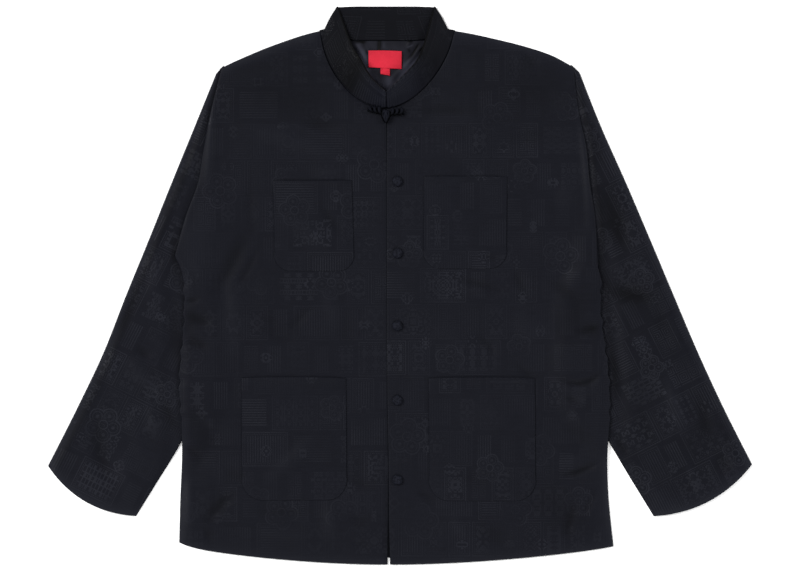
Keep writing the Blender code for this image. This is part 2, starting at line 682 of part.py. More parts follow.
# ------------------------------------------------------------------ closures
def make_button(number, y):
    """Make one cloth-covered button, a dome turned about its own axis."""
    mesh = bpy.data.meshes.new("button")
    profile = bmesh.new()
    points = []
    for i in range(BUTTON_DOME_STEPS + 1):
        angle = math.pi / 2 * (1 - i / BUTTON_DOME_STEPS)
        points.append((BUTTON_RADIUS * math.cos(angle), BUTTON_HEIGHT * math.sin(angle)))
    points.append((0.0, 0.0))
    verts = [profile.verts.new((x, 0, z)) for x, z in points]
    for before, after in zip(verts, verts[1:]):
        profile.edges.new((before, after))
    profile.to_mesh(mesh)
    profile.free()
    button = add_object(f"button_{number}", mesh, "trim")
    turn = button.modifiers.new("turn", "SCREW")
    turn.steps = turn.render_steps = BUTTON_TURN_STEPS
    turn.use_merge_vertices = True
    turn.merge_threshold = 0.00005
    button.location = (BUTTON_X, y, FRONT_TOP_Z + SEAM_GAP)
    return button


def make_frog_wing(side):
    """Make one wing of the frog closure: a cord bent to and fro, out from the knot."""
    out = OUTWARD[side]
    curve = bpy.data.curves.new("frog_wing_" + side, "CURVE")
    curve.dimensions = "3D"
    curve.bevel_depth = FROG_CORD
    curve.bevel_resolution = 1
    curve.use_fill_caps = True
    spline = curve.splines.new("POLY")
    spline.points.add(WING_STEPS)
    start_x = KNOT_CENTRE[0] + out * (KNOT_RADIUS + FROG_CORD + SEAM_GAP)
    base_y = KNOT_CENTRE[1] + FROG_WING_RISE
    for i, point in enumerate(spline.points):
        t = i / WING_STEPS
        swing = FROG_WAVE * math.sin(2 * math.pi * FROG_BENDS * t) * (1 - FROG_FADE * t)
        x = start_x + out * (FROG_WING - 2 * FROG_CORD) * t
        point.co = (x, base_y + swing, FRONT_TOP_Z + SEAM_GAP + FROG_CORD, 1)
    curve.materials.append(finishes["trim"])
    wing = bpy.data.objects.new("frog_wing_" + side, curve)
    jacket.objects.link(wing)
    return wing


def make_frog_knot():
    """Make the ball knot of the frog closure."""
    mesh = bpy.data.meshes.new("frog_knot")
    ball = bmesh.new()
    bmesh.ops.create_uvsphere(
        ball, u_segments=KNOT_SEGMENTS, v_segments=KNOT_RINGS, radius=KNOT_RADIUS
    )
    for vert in ball.verts:
        vert.co.y *= KNOT_LENGTHEN
        vert.co.z *= KNOT_FLATTEN
    ball.to_mesh(mesh)
    ball.free()
    mesh.shade_smooth()
    knot = add_object("frog_knot", mesh, "trim")
    knot.location = (*KNOT_CENTRE, FRONT_TOP_Z + SEAM_GAP + KNOT_FLATTEN * KNOT_RADIUS)
    return knot


# ------------------------------------------------------------------ the whole jacket
for old in list(bpy.data.objects):
    bpy.data.objects.remove(old, do_unlink=True)

jacket = bpy.data.collections.new("tang_jacket")
bpy.context.scene.collection.children.link(jacket)
finishes = {name: make_material(name) for name in MATERIALS}

make_back()
make_underlap()
for wearer_side in SIDES:
    make_front(wearer_side)
    make_sleeve(wearer_side)
    make_frog_wing(wearer_side)
make_collar()
make_neck_lining()
make_label("label", LABEL_BOX)
make_label("size_tab", SIZE_TAB_BOX)
for row_of_pocket in POCKETS:
    make_pocket(row_of_pocket)
for count, height_on_front in enumerate(BUTTON_ROWS_Y, start=1):
    make_button(count, height_on_front)
make_frog_knot()
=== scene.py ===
"""A tang jacket laid flat: its cloth, closures and finishes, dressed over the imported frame.

Metres, with +X to the wearer's left, +Y to the collar and +Z up from the surface that the
jacket lies on. Each sheet of cloth is a fine grid, laid out by the same outlines and layers as
its solid, with the softer creases, rolled edges and weave that the solid leaves out.
"""

import math
from collections import namedtuple

import bmesh
import bpy
import numpy as np
from bpy.props import FloatProperty, FloatVectorProperty, IntProperty, PointerProperty
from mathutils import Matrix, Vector, noise


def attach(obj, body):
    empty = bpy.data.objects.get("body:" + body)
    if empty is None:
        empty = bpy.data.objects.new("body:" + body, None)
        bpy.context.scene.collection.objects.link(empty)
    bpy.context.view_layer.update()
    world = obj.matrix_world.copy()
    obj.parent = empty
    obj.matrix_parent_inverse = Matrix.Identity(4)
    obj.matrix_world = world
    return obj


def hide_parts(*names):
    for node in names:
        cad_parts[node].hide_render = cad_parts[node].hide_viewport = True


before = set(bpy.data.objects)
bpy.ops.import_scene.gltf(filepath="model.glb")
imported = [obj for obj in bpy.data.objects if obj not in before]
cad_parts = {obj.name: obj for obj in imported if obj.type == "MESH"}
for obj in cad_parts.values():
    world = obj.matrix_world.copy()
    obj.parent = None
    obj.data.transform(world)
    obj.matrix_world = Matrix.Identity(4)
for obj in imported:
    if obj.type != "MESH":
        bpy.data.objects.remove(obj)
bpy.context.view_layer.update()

bl_info = {
    "name": "Tang Jacket",
    "version": (1, 0, 0),
    "blender": (4, 5, 0),
    "location": "3D View > Sidebar > Jacket",
    "description": "A tang jacket laid flat, in a dark tonal jacquard",
    "category": "Add Mesh",
}

BODY = "root"
SIDES = ("right", "left")  # the wearer's
OUTWARD = {"right": -1, "left": 1}  # the direction along X out from the front edges
TURN = 2 * math.pi

# ------------------------------------------------------------------ outline of the body
EdgeRow = namedtuple("EdgeRow", "right_x right_y left_x left_y")

SHOULDER = (  # from the neck to the shoulder point
    EdgeRow(-0.1135, 0.3662, 0.0768, 0.3662),
    EdgeRow(-0.1292, 0.3625, 0.0990, 0.3625),
    EdgeRow(-0.1480, 0.3570, 0.1250, 0.3570),
    EdgeRow(-0.1940, 0.3405, 0.1760, 0.3445),
    EdgeRow(-0.2350, 0.3230, 0.2170, 0.3310),
    EdgeRow(-0.2560, 0.3130, 0.2490, 0.3140),
)
ARMHOLE = (  # from the shoulder point to the armpit
    EdgeRow(-0.2560, 0.3130, 0.2490, 0.3140),
    EdgeRow(-0.2710, 0.2510, 0.2560, 0.2530),
    EdgeRow(-0.2830, 0.1900, 0.2670, 0.2000),
    EdgeRow(-0.2900, 0.1480, 0.2720, 0.1500),
    EdgeRow(-0.3070, 0.1010, 0.2800, 0.1000),
    EdgeRow(-0.3230, 0.0430, 0.2840, 0.0270),
)
SIDE = (  # from the armpit to the hem
    EdgeRow(-0.3230, 0.0430, 0.2840, 0.0270),
    EdgeRow(-0.3130, 0.0200, 0.2890, 0.0050),
    EdgeRow(-0.3100, -0.0180, 0.2880, -0.0280),
    EdgeRow(-0.3110, -0.0600, 0.2930, -0.0750),
    EdgeRow(-0.3140, -0.0950, 0.2980, -0.1100),
    EdgeRow(-0.3170, -0.1400, 0.3010, -0.1500),
    EdgeRow(-0.3140, -0.1920, 0.3010, -0.1900),
    EdgeRow(-0.3125, -0.2400, 0.2975, -0.2450),
    EdgeRow(-0.3150, -0.3000, 0.2993, -0.3050),
    EdgeRow(-0.3168, -0.3680, 0.3062, -0.3735),
)
PUCKER = 0.0009  # how far the sides waver where they lie over the sleeves
PUCKER_LOW, PUCKER_HIGH, PUCKER_FADE = -0.215, 0.035, 0.03
PUCKER_WAVES = ((0.029, 1.0, 0.0), (0.0173, 0.8, 1.0))  # length, share of its size and start
HEM_Y = -0.3998  # lowest point of the hem, at the front edges
BACK_HEM_RISE = 0.010  # the back is this much shorter than the fronts, in the middle
HEM_RISE_SQUARE = 4  # the power that keeps this rise even until it nears the sides
HEM_POWER = 1.85  # how the hem bows up to the sides
HEM_TURN = {"right": 0.20, "left": 0.05}  # share of this rise that comes at the very corner
HEM_TURN_POWER = 16

# ------------------------------------------------------------------ neck and front edges
NECK_X = -0.0175  # the line where the fronts meet
NECK_DEPTH = 0.1124  # from the shoulder's neck corner down to the throat
NECK_FULLNESS = {"right": 1.80, "left": 1.62}  # 1 is a straight V and 2 an ellipse
NECK_SAMPLES = 24
BACK_NECK_DROP = 0.0128  # the collar's foot at the back lies this far below the corners
BACK_NECK_LAP = 0.0024  # and the back panel reaches this far up under it
BACK_NECK_SQUARE = 4

CentreRow = namedtuple("CentreRow", "y shift gap")

CENTRE_LINE = (  # how the line between the fronts wanders, and gapes to a slit at the hem
    CentreRow(-0.3998, 0.0014, 0.0035),
    CentreRow(-0.3810, 0.0013, 0.0026),
    CentreRow(-0.3570, 0.0011, 0.0012),
    CentreRow(-0.3360, 0.0010, 0.0003),
    CentreRow(-0.3000, 0.0010, 0.0002),
    CentreRow(-0.2640, 0.0009, -0.0003),
    CentreRow(-0.2210, 0.0003, 0.0000),
    CentreRow(-0.1640, -0.0006, -0.0004),
    CentreRow(-0.0900, -0.0015, -0.0004),
    CentreRow(0.1700, -0.0016, -0.0004),
    CentreRow(0.2150, -0.0013, 0.0000),
    CentreRow(0.2540, -0.0020, 0.0004),
)
PLACKET, PLACKET_FADE = 0.006, 0.030  # the fronts lie flatter this close to their edges
PLACKET_RELIEF = 0.35  # share of their relief that is left there

DipRow = namedtuple("DipRow", "depth per_gap run_per_gap")

EDGE_DIPS = {  # how far the edges turn down into the slit, and how much more where it gapes
    "right": DipRow(0.0008, 1.2, 2.0),
    "left": DipRow(0.0002, 0.0, 0.0),
}
EDGE_DIP_MOST = 0.0020
EDGE_DIP_RUN, EDGE_DIP_RUN_LEAST, EDGE_DIP_RUN_MOST = 0.0030, 0.0020, 0.0050

# ------------------------------------------------------------------ sleeves
SLEEVE_OUTER = (  # the folded outer edge, from the shoulder to the cuff
    EdgeRow(-0.2640, 0.3040, 0.2575, 0.3060),
    EdgeRow(-0.2945, 0.2290, 0.2880, 0.2290),
    EdgeRow(-0.3280, 0.1470, 0.3245, 0.1470),
    EdgeRow(-0.3605, 0.0660, 0.3590, 0.0660),
    EdgeRow(-0.3940, -0.0160, 0.3935, -0.0160),
    EdgeRow(-0.4255, -0.0960, 0.4275, -0.0960),
    EdgeRow(-0.4645, -0.1780, 0.4655, -0.1780),
    EdgeRow(-0.5050, -0.2580, 0.5050, -0.2560),
)
SLEEVE_UNDER = (  # the under edge, from the armpit, beneath the body and out to the cuff
    EdgeRow(-0.3230, 0.0430, 0.2840, 0.0270),
    EdgeRow(-0.3065, 0.0235, 0.2685, 0.0075),
    EdgeRow(-0.2960, -0.0100, 0.2620, -0.0150),
    EdgeRow(-0.2860, -0.0600, 0.2560, -0.0620),
    EdgeRow(-0.2830, -0.1130, 0.2530, -0.1130),
    EdgeRow(-0.2920, -0.1750, 0.2650, -0.1690),
    EdgeRow(-0.3170, -0.2300, 0.2960, -0.2180),
    EdgeRow(-0.3490, -0.2825, 0.3292, -0.2738),
    EdgeRow(-0.3785, -0.3300, 0.3638, -0.3302),
)
CUFF_BOW = 0.018  # how far the cuff's edge curves out past a straight line
CUFF_BOW_POWER = 7  # keeps this curve to the sleeve's end
ARMHOLE_SHARE = 10 / 24  # share of a sleeve's rows that lie along the armhole
ARMHOLE_GAP = 0.0009
CAP_TUCK = 0.0040  # the sleeve's upper cloth passes this far under the front at the armhole

# ------------------------------------------------------------------ tucked sleeves
TUCK_LIFT = 0.0041  # height of the body's cloth over a tucked sleeve
TUCK_END_Y = -0.2240  # a sleeve comes out from under the body at this height
TUCK_MARGIN = 0.016  # the body stays lifted this far past the sleeve's edge
TUCK_RAMP = 0.032  # and comes down again over this width
TUCK_FADE = 0.060  # or this height, above and below
TUCK_CLEAR = 0.012  # the sleeve stays flat this far past the body's side
TUCK_PUFF = 0.020  # and swells to its full height over this width

# ------------------------------------------------------------------ layers and grids
LAYER_GAP = 0.0003  # between one layer of cloth and the next
SEAT_GAP = 0.0002  # under a button or the frog
ROUNDING = 0.0016  # a sheet thins from this far to its cut edge
EDGE_THICKNESS = 0.15  # and has this share of its thickness there
HEM_PUFF = 0.65  # share of its height that cloth keeps at a hem, which doesn't roll right down
ARMHOLE_ROLL = 0.6  # share of the roll that cloth has already gone through at the armhole
DEEPEST = 0.75  # a trough's greatest depth, as a share of the air under it
ARMHOLE_RUN, SIDE_RUN, BACK_RUN = 0.29, 0.42, 0.60  # lengths that share out a grid's threads
NECK_RUN, EDGE_RUN, FRONT_RUN = 0.22, 0.62, 0.27
SLEEVE_HEAD_RUN, SLEEVE_RUN = 0.28, 0.42

CUT_PLACES = {  # where on the cloth each piece is cut from
    "back": (0.31, 0.11),
    "front_right": (0.043, 0.027),
    "front_left": (0.612, 0.389),
    "underlap": (0.2, 0.5),
    "sleeve_right": (0.83, 0.21),
    "sleeve_left": (0.37, 0.94),
    "collar": (0.5, 0.74),
    "neck_lining": (0.1, 0.1),
    "label": (0.0, 0.0),
    "size_tab": (0.0, 0.0),
    "pocket_chest_right": (0.137, 0.418),
    "pocket_chest_left": (0.356, 0.261),
    "pocket_hip_right": (0.575, 0.104),
    "pocket_hip_left": (0.794, -0.053),
}

# ------------------------------------------------------------------ collar
CollarRow = namedtuple(
    "CollarRow", "right_x right_y right_rise right_tone left_x left_y left_rise left_tone"
)

# the tone columns are painted light and shade on the collar's front
COLLAR_FRONT = (  # along the top edge, from the shoulder fold to the throat
    CollarRow(-0.0882, 0.4000, 0.000, -0.84, 0.0482, 0.4000, 0.000, -0.80),
    CollarRow(-0.0680, 0.3450, 0.008, -1.00, 0.0340, 0.3460, 0.014, -0.80),
    CollarRow(-0.0550, 0.3230, 0.014, -1.12, 0.0240, 0.3220, 0.024, -0.50),
    CollarRow(-0.0420, 0.3000, 0.020, -0.46, 0.0005, 0.2965, 0.028, 0.25),
    CollarRow(-0.0202, 0.2765, 0.030, 0.00, -0.0196, 0.2765, 0.030, 0.55),
)
# painted shade over the back of the collar
COLLAR_BACK_PAINTED_SHADE = -0.86
COLLAR_RIM_SHADE, COLLAR_RIM_RUN = 0.75, 0.0022  # painted shade where the front's top edge turns from the light
COLLAR_BACK_SHEEN, COLLAR_BACK_RUN = 0.22, 0.0060  # and painted sheen on the back's, which catches a little
COLLAR_GAP = 0.0005  # half the gap between its two ends
COLLAR_BACK_TOP_Y = 0.4010
COLLAR_BACK_REACH = 0.15  # it is up to this height past this share of its length
COLLAR_SEAM_IN = 0.0009  # it stands this far inside the neck seam
COLLAR_BACK_FOOT = 0.0017  # height of its foot at the back, over the back panel
COLLAR_FOLD_RADIUS = 0.00265
COLLAR_SEAM_Z = 0.0053  # outer face of the front half, at its seam
COLLAR_BULGE = 0.0012  # how far the band curves out between its seam and its top edge
COLLAR_FLARE = {"right": 0.0070, "left": 0.0100}  # how far it draws in above its foot
COLLAR_FLARE_SHARE = {"front": 0.22, "back": 0.20}  # share of a part's length that draws in
COLLAR_FOOT_LAP = 0.0025  # its foot passes this far over the shoulder
COLLAR_LAP_SHARE = 0.12
COLLAR_FOOT = 0.05  # share of its height that is its foot
COLLAR_HEIGHT = 0.044

# ------------------------------------------------------------------ pockets and closures
PocketRow = namedtuple("PocketRow", "node left right top bottom radius lean sag")

POCKETS = (
    PocketRow("pocket_chest_right", -0.1812, -0.0676, 0.1516, 0.0214, 0.022, 0.003, 0.0004),
    PocketRow("pocket_chest_left", 0.0342, 0.1532, 0.1572, 0.0248, 0.024, -0.001, 0.0002),
    PocketRow("pocket_hip_right", -0.2270, -0.0768, -0.1318, -0.3075, 0.029, 0.001, -0.0014),
    PocketRow("pocket_hip_left", 0.0414, 0.1940, -0.1322, -0.3085, 0.029, 0.001, -0.0014),
)
BUTTON_X = -0.0036
BUTTON_ROWS_Y = (0.150, 0.047, -0.057, -0.164, -0.278)
BUTTON_BASE = 0.28  # a button is cut off this far below its middle, as a share of its radius
BUTTON_FLAT = 0.10  # share of its height that is pressed out of its top
UNDERLAP_HALF_WIDTH = 0.020
UNDERLAP_TOP_Y = 0.238
UNDERLAP_HEM_Y = -0.388
# painted shade on the underlap below this height, in the slit between the fronts
UNDERLAP_SHADE, UNDERLAP_SHADE_Y, UNDERLAP_SHADE_RUN = 0.6, -0.320, 0.035
KNOT_CENTRE = (-0.0203, 0.2432)
KNOT_STRETCH = 1.72  # length of the knot to its width
KNOT_FLATTEN = 0.7  # and its height
WING_LENGTH = 0.0198
WING_START = 0.0060  # from the knot's middle
WING_HALF_WIDTH = 0.0043
WING_SWING = 0.0021  # how far a loop leans back along the wing
WING_TAPER = {"right": 0.40, "left": 0.12}  # how much smaller the last loop is
WING_CLIMB = {"right": 0.0030, "left": 0.0010}
WING_RISE = {"right": 0.0080, "left": 0.0064}  # the wings start this far above the knot's middle
LINING_TOP_Y, LINING_LOW_Y = 0.3515, 0.2660
LINING_HALF_TOP, LINING_HALF_LOW = 0.062, 0.014
LINING_CURVE = 1.6
LINING_RUN, LINING_SPACING = 0.086, 0.0011  # the length that its rows share out, and their gap
LINING_FOLD = 0.0006  # height of its folds between the larger creases
LINING_FLAT = 0.008  # it lies flat this close to its sides

LabelRow = namedtuple("LabelRow", "node left right bottom top height")

LABELS = (
    LabelRow("label", -0.0452, 0.0026, 0.3122, 0.3372, 0.0050),
    LabelRow("size_tab", -0.0280, -0.0143, 0.3026, 0.3120, 0.0042),
)
LABEL_SPACING = 0.0012
LABEL_BOW = 0.0006  # of its top edge
LABEL_TILT, LABEL_LEAN = 0.0008, 0.0018  # from end to end, at the top, and this much more below
LABEL_CURL = 0.0022  # of its upper corner on the wearer's right
LABEL_CURL_SHARES = (0.16, 0.30)  # shares of its width and height
LABEL_BELLY = 0.0007
LABEL_WOBBLE = 0.0003

# ------------------------------------------------------------------ waves and creases
WaveRow = namedtuple("WaveRow", "length share seed")

BODY_WAVES = (WaveRow(0.075, 1.0, 3.0), WaveRow(0.026, 0.3, 5.0))
SLEEVE_WAVES = (WaveRow(0.070, 1.0, 9.0), WaveRow(0.026, 0.3, 7.0))

# Each row is a soft ridge, or a trough with a height below 0, along a line that may bend.
CreaseRow = namedtuple("CreaseRow", "start_x start_y end_x end_y bend width height")


def crease_rows(*rows):
    """Name the numbers of a table of creases."""
    return tuple(CreaseRow(*row) for row in rows)


BODY_CREASES = crease_rows(
    (-0.2669, 0.2899, -0.2770, 0.1148, 0.0000, 0.0070, 0.0034),
    (-0.2784, 0.1292, -0.2870, -0.0086, 0.0043, 0.0180, 0.0026),
    (-0.2153, 0.0918, -0.2727, -0.0201, -0.0043, 0.0110, -0.0022),
    (-0.1980, 0.0718, -0.2468, -0.0201, -0.0043, 0.0050, -0.0011),
    (-0.2353, 0.0344, -0.2353, -0.1277, 0.0043, 0.0130, 0.0024),
    (-0.3143, -0.0187, -0.2841, -0.0201, 0.0014, 0.0045, -0.0026),
    (-0.3128, -0.0359, -0.2640, -0.0545, 0.0029, 0.0080, -0.0028),
    (-0.3128, -0.0789, -0.2698, -0.0918, -0.0029, 0.0060, -0.0024),
    (-0.3071, -0.0144, -0.3014, -0.0918, 0.0000, 0.0100, -0.0016),
    (-0.2554, 0.2784, -0.0789, 0.2497, -0.0072, 0.0240, -0.0010),
    (-0.2353, 0.2267, -0.0689, 0.1722, -0.0072, 0.0110, 0.0020),
    (-0.1923, 0.2411, -0.0689, 0.1980, -0.0029, 0.0040, 0.0009),
    (-0.1435, 0.2382, -0.0789, 0.2296, 0.0029, 0.0090, -0.0015),
    (-0.2669, 0.3071, -0.1435, 0.3157, -0.0029, 0.0080, -0.0008),
    (-0.1320, 0.1636, -0.0718, 0.1636, 0.0029, 0.0080, 0.0015),
    (-0.2153, 0.1665, -0.2066, 0.0517, 0.0029, 0.0060, -0.0009),
    (-0.1177, 0.1234, -0.0746, 0.0660, 0.0029, 0.0060, -0.0011),
    (-0.1679, 0.1033, -0.0976, 0.0402, -0.0057, 0.0130, 0.0015),
    (-0.1579, -0.0660, -0.1205, -0.0258, -0.0029, 0.0060, -0.0012),
    (-0.1062, 0.0086, -0.0789, -0.0746, 0.0043, 0.0120, 0.0017),
    (-0.2081, -0.0201, -0.1435, -0.0918, 0.0043, 0.0140, -0.0007),
    (-0.0789, -0.0201, -0.0718, -0.0947, 0.0029, 0.0090, -0.0009),
    (-0.0646, -0.0631, -0.0244, -0.0201, 0.0043, 0.0080, 0.0010),
    (-0.0646, 0.2023, -0.0230, 0.1808, 0.0029, 0.0060, 0.0010),
    (-0.2942, -0.1406, -0.2698, -0.2640, 0.0072, 0.0200, -0.0012),
    (-0.3128, -0.2239, -0.2755, -0.2511, 0.0029, 0.0060, -0.0018),
    (-0.2784, -0.1866, -0.2640, -0.2038, 0.0000, 0.0060, 0.0016),
    (-0.3042, -0.2640, -0.3014, -0.3674, 0.0000, 0.0080, 0.0022),
    (-0.2296, -0.2899, -0.2841, -0.3473, 0.0043, 0.0080, -0.0026),
    (-0.2798, -0.3415, -0.2698, -0.3717, 0.0014, 0.0060, -0.0016),
    (-0.2554, -0.2640, -0.2153, -0.2755, 0.0014, 0.0080, -0.0010),
    (-0.2066, -0.2870, -0.1119, -0.2066, 0.0043, 0.0100, 0.0017),
    (-0.1005, -0.2999, -0.0918, -0.3788, 0.0029, 0.0100, 0.0016),
    (-0.0789, -0.3286, -0.0359, -0.3387, 0.0029, 0.0080, -0.0012),
    (-0.0789, -0.3645, -0.0316, -0.3717, 0.0029, 0.0060, -0.0008),
    (-0.2153, -0.3501, -0.1148, -0.3559, 0.0043, 0.0060, 0.0009),
    (-0.2296, -0.3214, -0.1005, -0.3186, 0.0043, 0.0060, -0.0009),
    (-0.0789, -0.2640, -0.0287, -0.2927, 0.0043, 0.0100, -0.0009),
    (0.2554, 0.2727, 0.2727, 0.0545, -0.0043, 0.0050, 0.0028),
    (0.2956, -0.0545, 0.2468, -0.0674, -0.0014, 0.0060, -0.0028),
    (0.2899, 0.0057, 0.2239, -0.1005, 0.0072, 0.0200, -0.0012),
    (0.2727, -0.0459, 0.2870, -0.0847, 0.0000, 0.0100, -0.0012),
    (0.2210, -0.1292, 0.2985, -0.1119, 0.0187, 0.0045, -0.0032),
    (0.2296, -0.1464, 0.2956, -0.1320, 0.0144, 0.0050, 0.0012),
    (0.2325, -0.1579, 0.2640, -0.1650, 0.0014, 0.0040, -0.0014),
    (0.1636, -0.1091, 0.2009, -0.1335, 0.0029, 0.0050, -0.0012),
    (0.2239, -0.2554, 0.2755, -0.2396, 0.0043, 0.0060, 0.0013),
    (0.2239, -0.2727, 0.2899, -0.2497, 0.0043, 0.0045, -0.0032),
    (0.2554, -0.3042, 0.2368, -0.3702, 0.0029, 0.0060, -0.0018),
    (0.2870, -0.2870, 0.2626, -0.3387, 0.0029, 0.0050, -0.0015),
    (0.1866, -0.2526, 0.2870, -0.3717, 0.0115, 0.0300, -0.0012),
    (0.2296, -0.1923, 0.2870, -0.2210, 0.0057, 0.0120, -0.0010),
    (0.2956, -0.2353, 0.2985, -0.3717, 0.0000, 0.0070, 0.0022),
    (0.0718, 0.0100, 0.1550, -0.0100, -0.0029, 0.0050, -0.0015),
    (0.0718, -0.0014, 0.1435, -0.0201, -0.0029, 0.0050, 0.0009),
    (0.1636, 0.0344, 0.1837, -0.0172, 0.0029, 0.0060, -0.0014),
    (0.2081, 0.0144, 0.2698, -0.0258, 0.0029, 0.0090, -0.0015),
    (0.1292, 0.2813, 0.2511, 0.2698, -0.0057, 0.0280, -0.0009),
    (0.1722, 0.3415, 0.1980, 0.3128, 0.0014, 0.0060, -0.0012),
    (0.0115, 0.2497, 0.1205, 0.2483, -0.0029, 0.0070, -0.0015),
    (0.0144, 0.2325, 0.1435, 0.2368, -0.0029, 0.0060, 0.0012),
    (0.1435, 0.2095, 0.2296, 0.2267, 0.0043, 0.0120, -0.0009),
    (0.2181, 0.1378, 0.2640, 0.1292, 0.0029, 0.0160, 0.0015),
    (0.1148, 0.0402, 0.1521, 0.0431, 0.0014, 0.0060, -0.0012),
    (0.1421, -0.1005, 0.1062, -0.0689, 0.0014, 0.0060, -0.0013),
    (0.1550, -0.0373, 0.2296, -0.0746, 0.0057, 0.0160, 0.0014),
    (0.0359, -0.0459, 0.1005, -0.0847, 0.0057, 0.0160, 0.0010),
    (0.0574, 0.2066, 0.1148, 0.1866, 0.0043, 0.0100, 0.0011),
    (0.0574, -0.1636, 0.1722, -0.1923, 0.0057, 0.0200, 0.0010),
    (0.0718, -0.2640, 0.1435, -0.2813, 0.0043, 0.0140, -0.0009),
    (0.1005, -0.3286, 0.1722, -0.3760, 0.0057, 0.0140, -0.0011),
    (0.0746, -0.3214, 0.1005, -0.3645, 0.0029, 0.0080, 0.0014),
    (-0.0072, -0.1234, 0.0287, -0.1378, 0.0029, 0.0050, -0.0010),
    (0.0215, -0.2856, 0.0574, -0.3143, 0.0029, 0.0060, -0.0012),
)
SLEEVE_CREASES = crease_rows(
    (-0.3214, 0.1062, -0.3214, -0.0086, 0.0029, 0.0080, -0.0019),
    (-0.3214, -0.0086, -0.3186, -0.1349, 0.0029, 0.0080, -0.0019),
    (-0.3358, 0.0660, -0.3588, -0.0373, 0.0029, 0.0090, 0.0016),
    (-0.3989, -0.1005, -0.3157, -0.1693, 0.0043, 0.0090, 0.0025),
    (-0.3817, -0.0847, -0.3530, -0.1033, 0.0014, 0.0060, -0.0018),
    (-0.3444, -0.1435, -0.3128, -0.2239, 0.0029, 0.0070, -0.0020),
    (-0.3616, -0.1579, -0.3387, -0.2296, 0.0029, 0.0080, 0.0016),
    (-0.4348, -0.1607, -0.4133, -0.3071, 0.0057, 0.0100, -0.0018),
    (-0.3989, -0.2210, -0.3817, -0.3186, 0.0043, 0.0120, 0.0018),
    (-0.2927, 0.2382, -0.3128, 0.1378, 0.0029, 0.0060, -0.0012),
    (-0.3731, -0.0057, -0.4047, -0.0775, 0.0029, 0.0090, -0.0010),
    (-0.4649, -0.2353, -0.4047, -0.2999, 0.0057, 0.0090, 0.0012),
    (-0.2798, 0.2813, -0.3157, 0.1952, 0.0000, 0.0060, 0.0012),
    (-0.3903, -0.1708, -0.3588, -0.2640, 0.0043, 0.0080, 0.0009),
    (0.2841, 0.0000, 0.3788, -0.0201, 0.0029, 0.0120, -0.0032),
    (0.3229, 0.0344, 0.3702, 0.0258, 0.0029, 0.0080, 0.0010),
    (0.3846, -0.1148, 0.4162, -0.2239, 0.0057, 0.0100, 0.0030),
    (0.4305, -0.1492, 0.4477, -0.2282, 0.0029, 0.0080, -0.0019),
    (0.3014, -0.0775, 0.3128, -0.1722, -0.0029, 0.0080, -0.0019),
    (0.3014, -0.2009, 0.3329, -0.2526, 0.0014, 0.0060, -0.0020),
    (0.4563, -0.2325, 0.4764, -0.2727, 0.0029, 0.0090, -0.0016),
    (0.4104, -0.2468, 0.4391, -0.3071, 0.0014, 0.0050, 0.0014),
    (0.2927, 0.1665, 0.3243, 0.0431, 0.0029, 0.0150, -0.0022),
    (0.3042, 0.1148, 0.3272, 0.0344, 0.0029, 0.0120, -0.0014),
    (0.3329, -0.0631, 0.3731, -0.0947, 0.0043, 0.0090, 0.0015),
    (0.3444, -0.1636, 0.3659, -0.2353, 0.0043, 0.0080, -0.0011),
    (0.3659, -0.0201, 0.3903, -0.0847, 0.0029, 0.0090, -0.0010),
    (0.3444, -0.2640, 0.3903, -0.3143, 0.0043, 0.0080, 0.0011),
    (0.2755, 0.2382, 0.2956, 0.1521, 0.0000, 0.0070, -0.0011),
)
HIDDEN_CREASES = crease_rows(
    (-0.2153, 0.1952, -0.1005, 0.0660, 0.0144, 0.0140, 0.0010),
    (0.1722, 0.1808, 0.0718, 0.0517, -0.0144, 0.0140, 0.0010),
    (-0.2440, -0.0201, -0.1435, -0.0775, 0.0072, 0.0100, 0.0009),
    (0.2296, -0.0201, 0.1435, -0.0918, -0.0072, 0.0100, 0.0009),
    (-0.0144, 0.1952, -0.0215, -0.0631, 0.0057, 0.0120, 0.0008),
    (-0.2655, -0.1636, -0.2009, -0.3071, 0.0086, 0.0120, 0.0010),
    (0.2511, -0.1779, 0.2009, -0.3071, -0.0086, 0.0120, 0.0010),
    (-0.1005, -0.2066, 0.0287, -0.2640, 0.0072, 0.0120, 0.0008),
    (-0.1435, 0.2813, 0.1005, 0.2741, 0.0086, 0.0120, 0.0008),
    (-0.0718, -0.3358, 0.0718, -0.3430, 0.0057, 0.0100, 0.0007),
    (-0.4162, -0.1636, -0.3588, -0.2784, 0.0057, 0.0090, 0.0008),
    (0.4162, -0.1636, 0.3659, -0.2784, -0.0057, 0.0090, 0.0008),
    (-0.3588, 0.0373, -0.3301, -0.0631, 0.0043, 0.0090, 0.0008),
    (0.3588, 0.0373, 0.3329, -0.0631, -0.0043, 0.0090, 0.0008),
)
LINING_CREASES = crease_rows(
    (-0.0310, 0.3560, -0.0320, 0.3330, 0.0006, 0.0014, -0.0012),
    (-0.0270, 0.3560, -0.0280, 0.3300, 0.0006, 0.0020, 0.0011),
    (0.0340, 0.3460, 0.0020, 0.3060, 0.0010, 0.0030, 0.0018),
    (0.0300, 0.3520, 0.0090, 0.3200, 0.0000, 0.0014, -0.0015),
    (0.0200, 0.3560, 0.0090, 0.3400, 0.0010, 0.0020, 0.0012),
    (0.0120, 0.3200, -0.0160, 0.2900, 0.0010, 0.0036, 0.0012),
    (-0.0660, 0.3500, -0.0450, 0.3150, -0.0020, 0.0034, 0.0016),
    (-0.0560, 0.3520, -0.0440, 0.3300, -0.0010, 0.0018, -0.0010),
    (-0.0360, 0.3060, -0.0200, 0.2720, 0.0010, 0.0024, 0.0010),
)
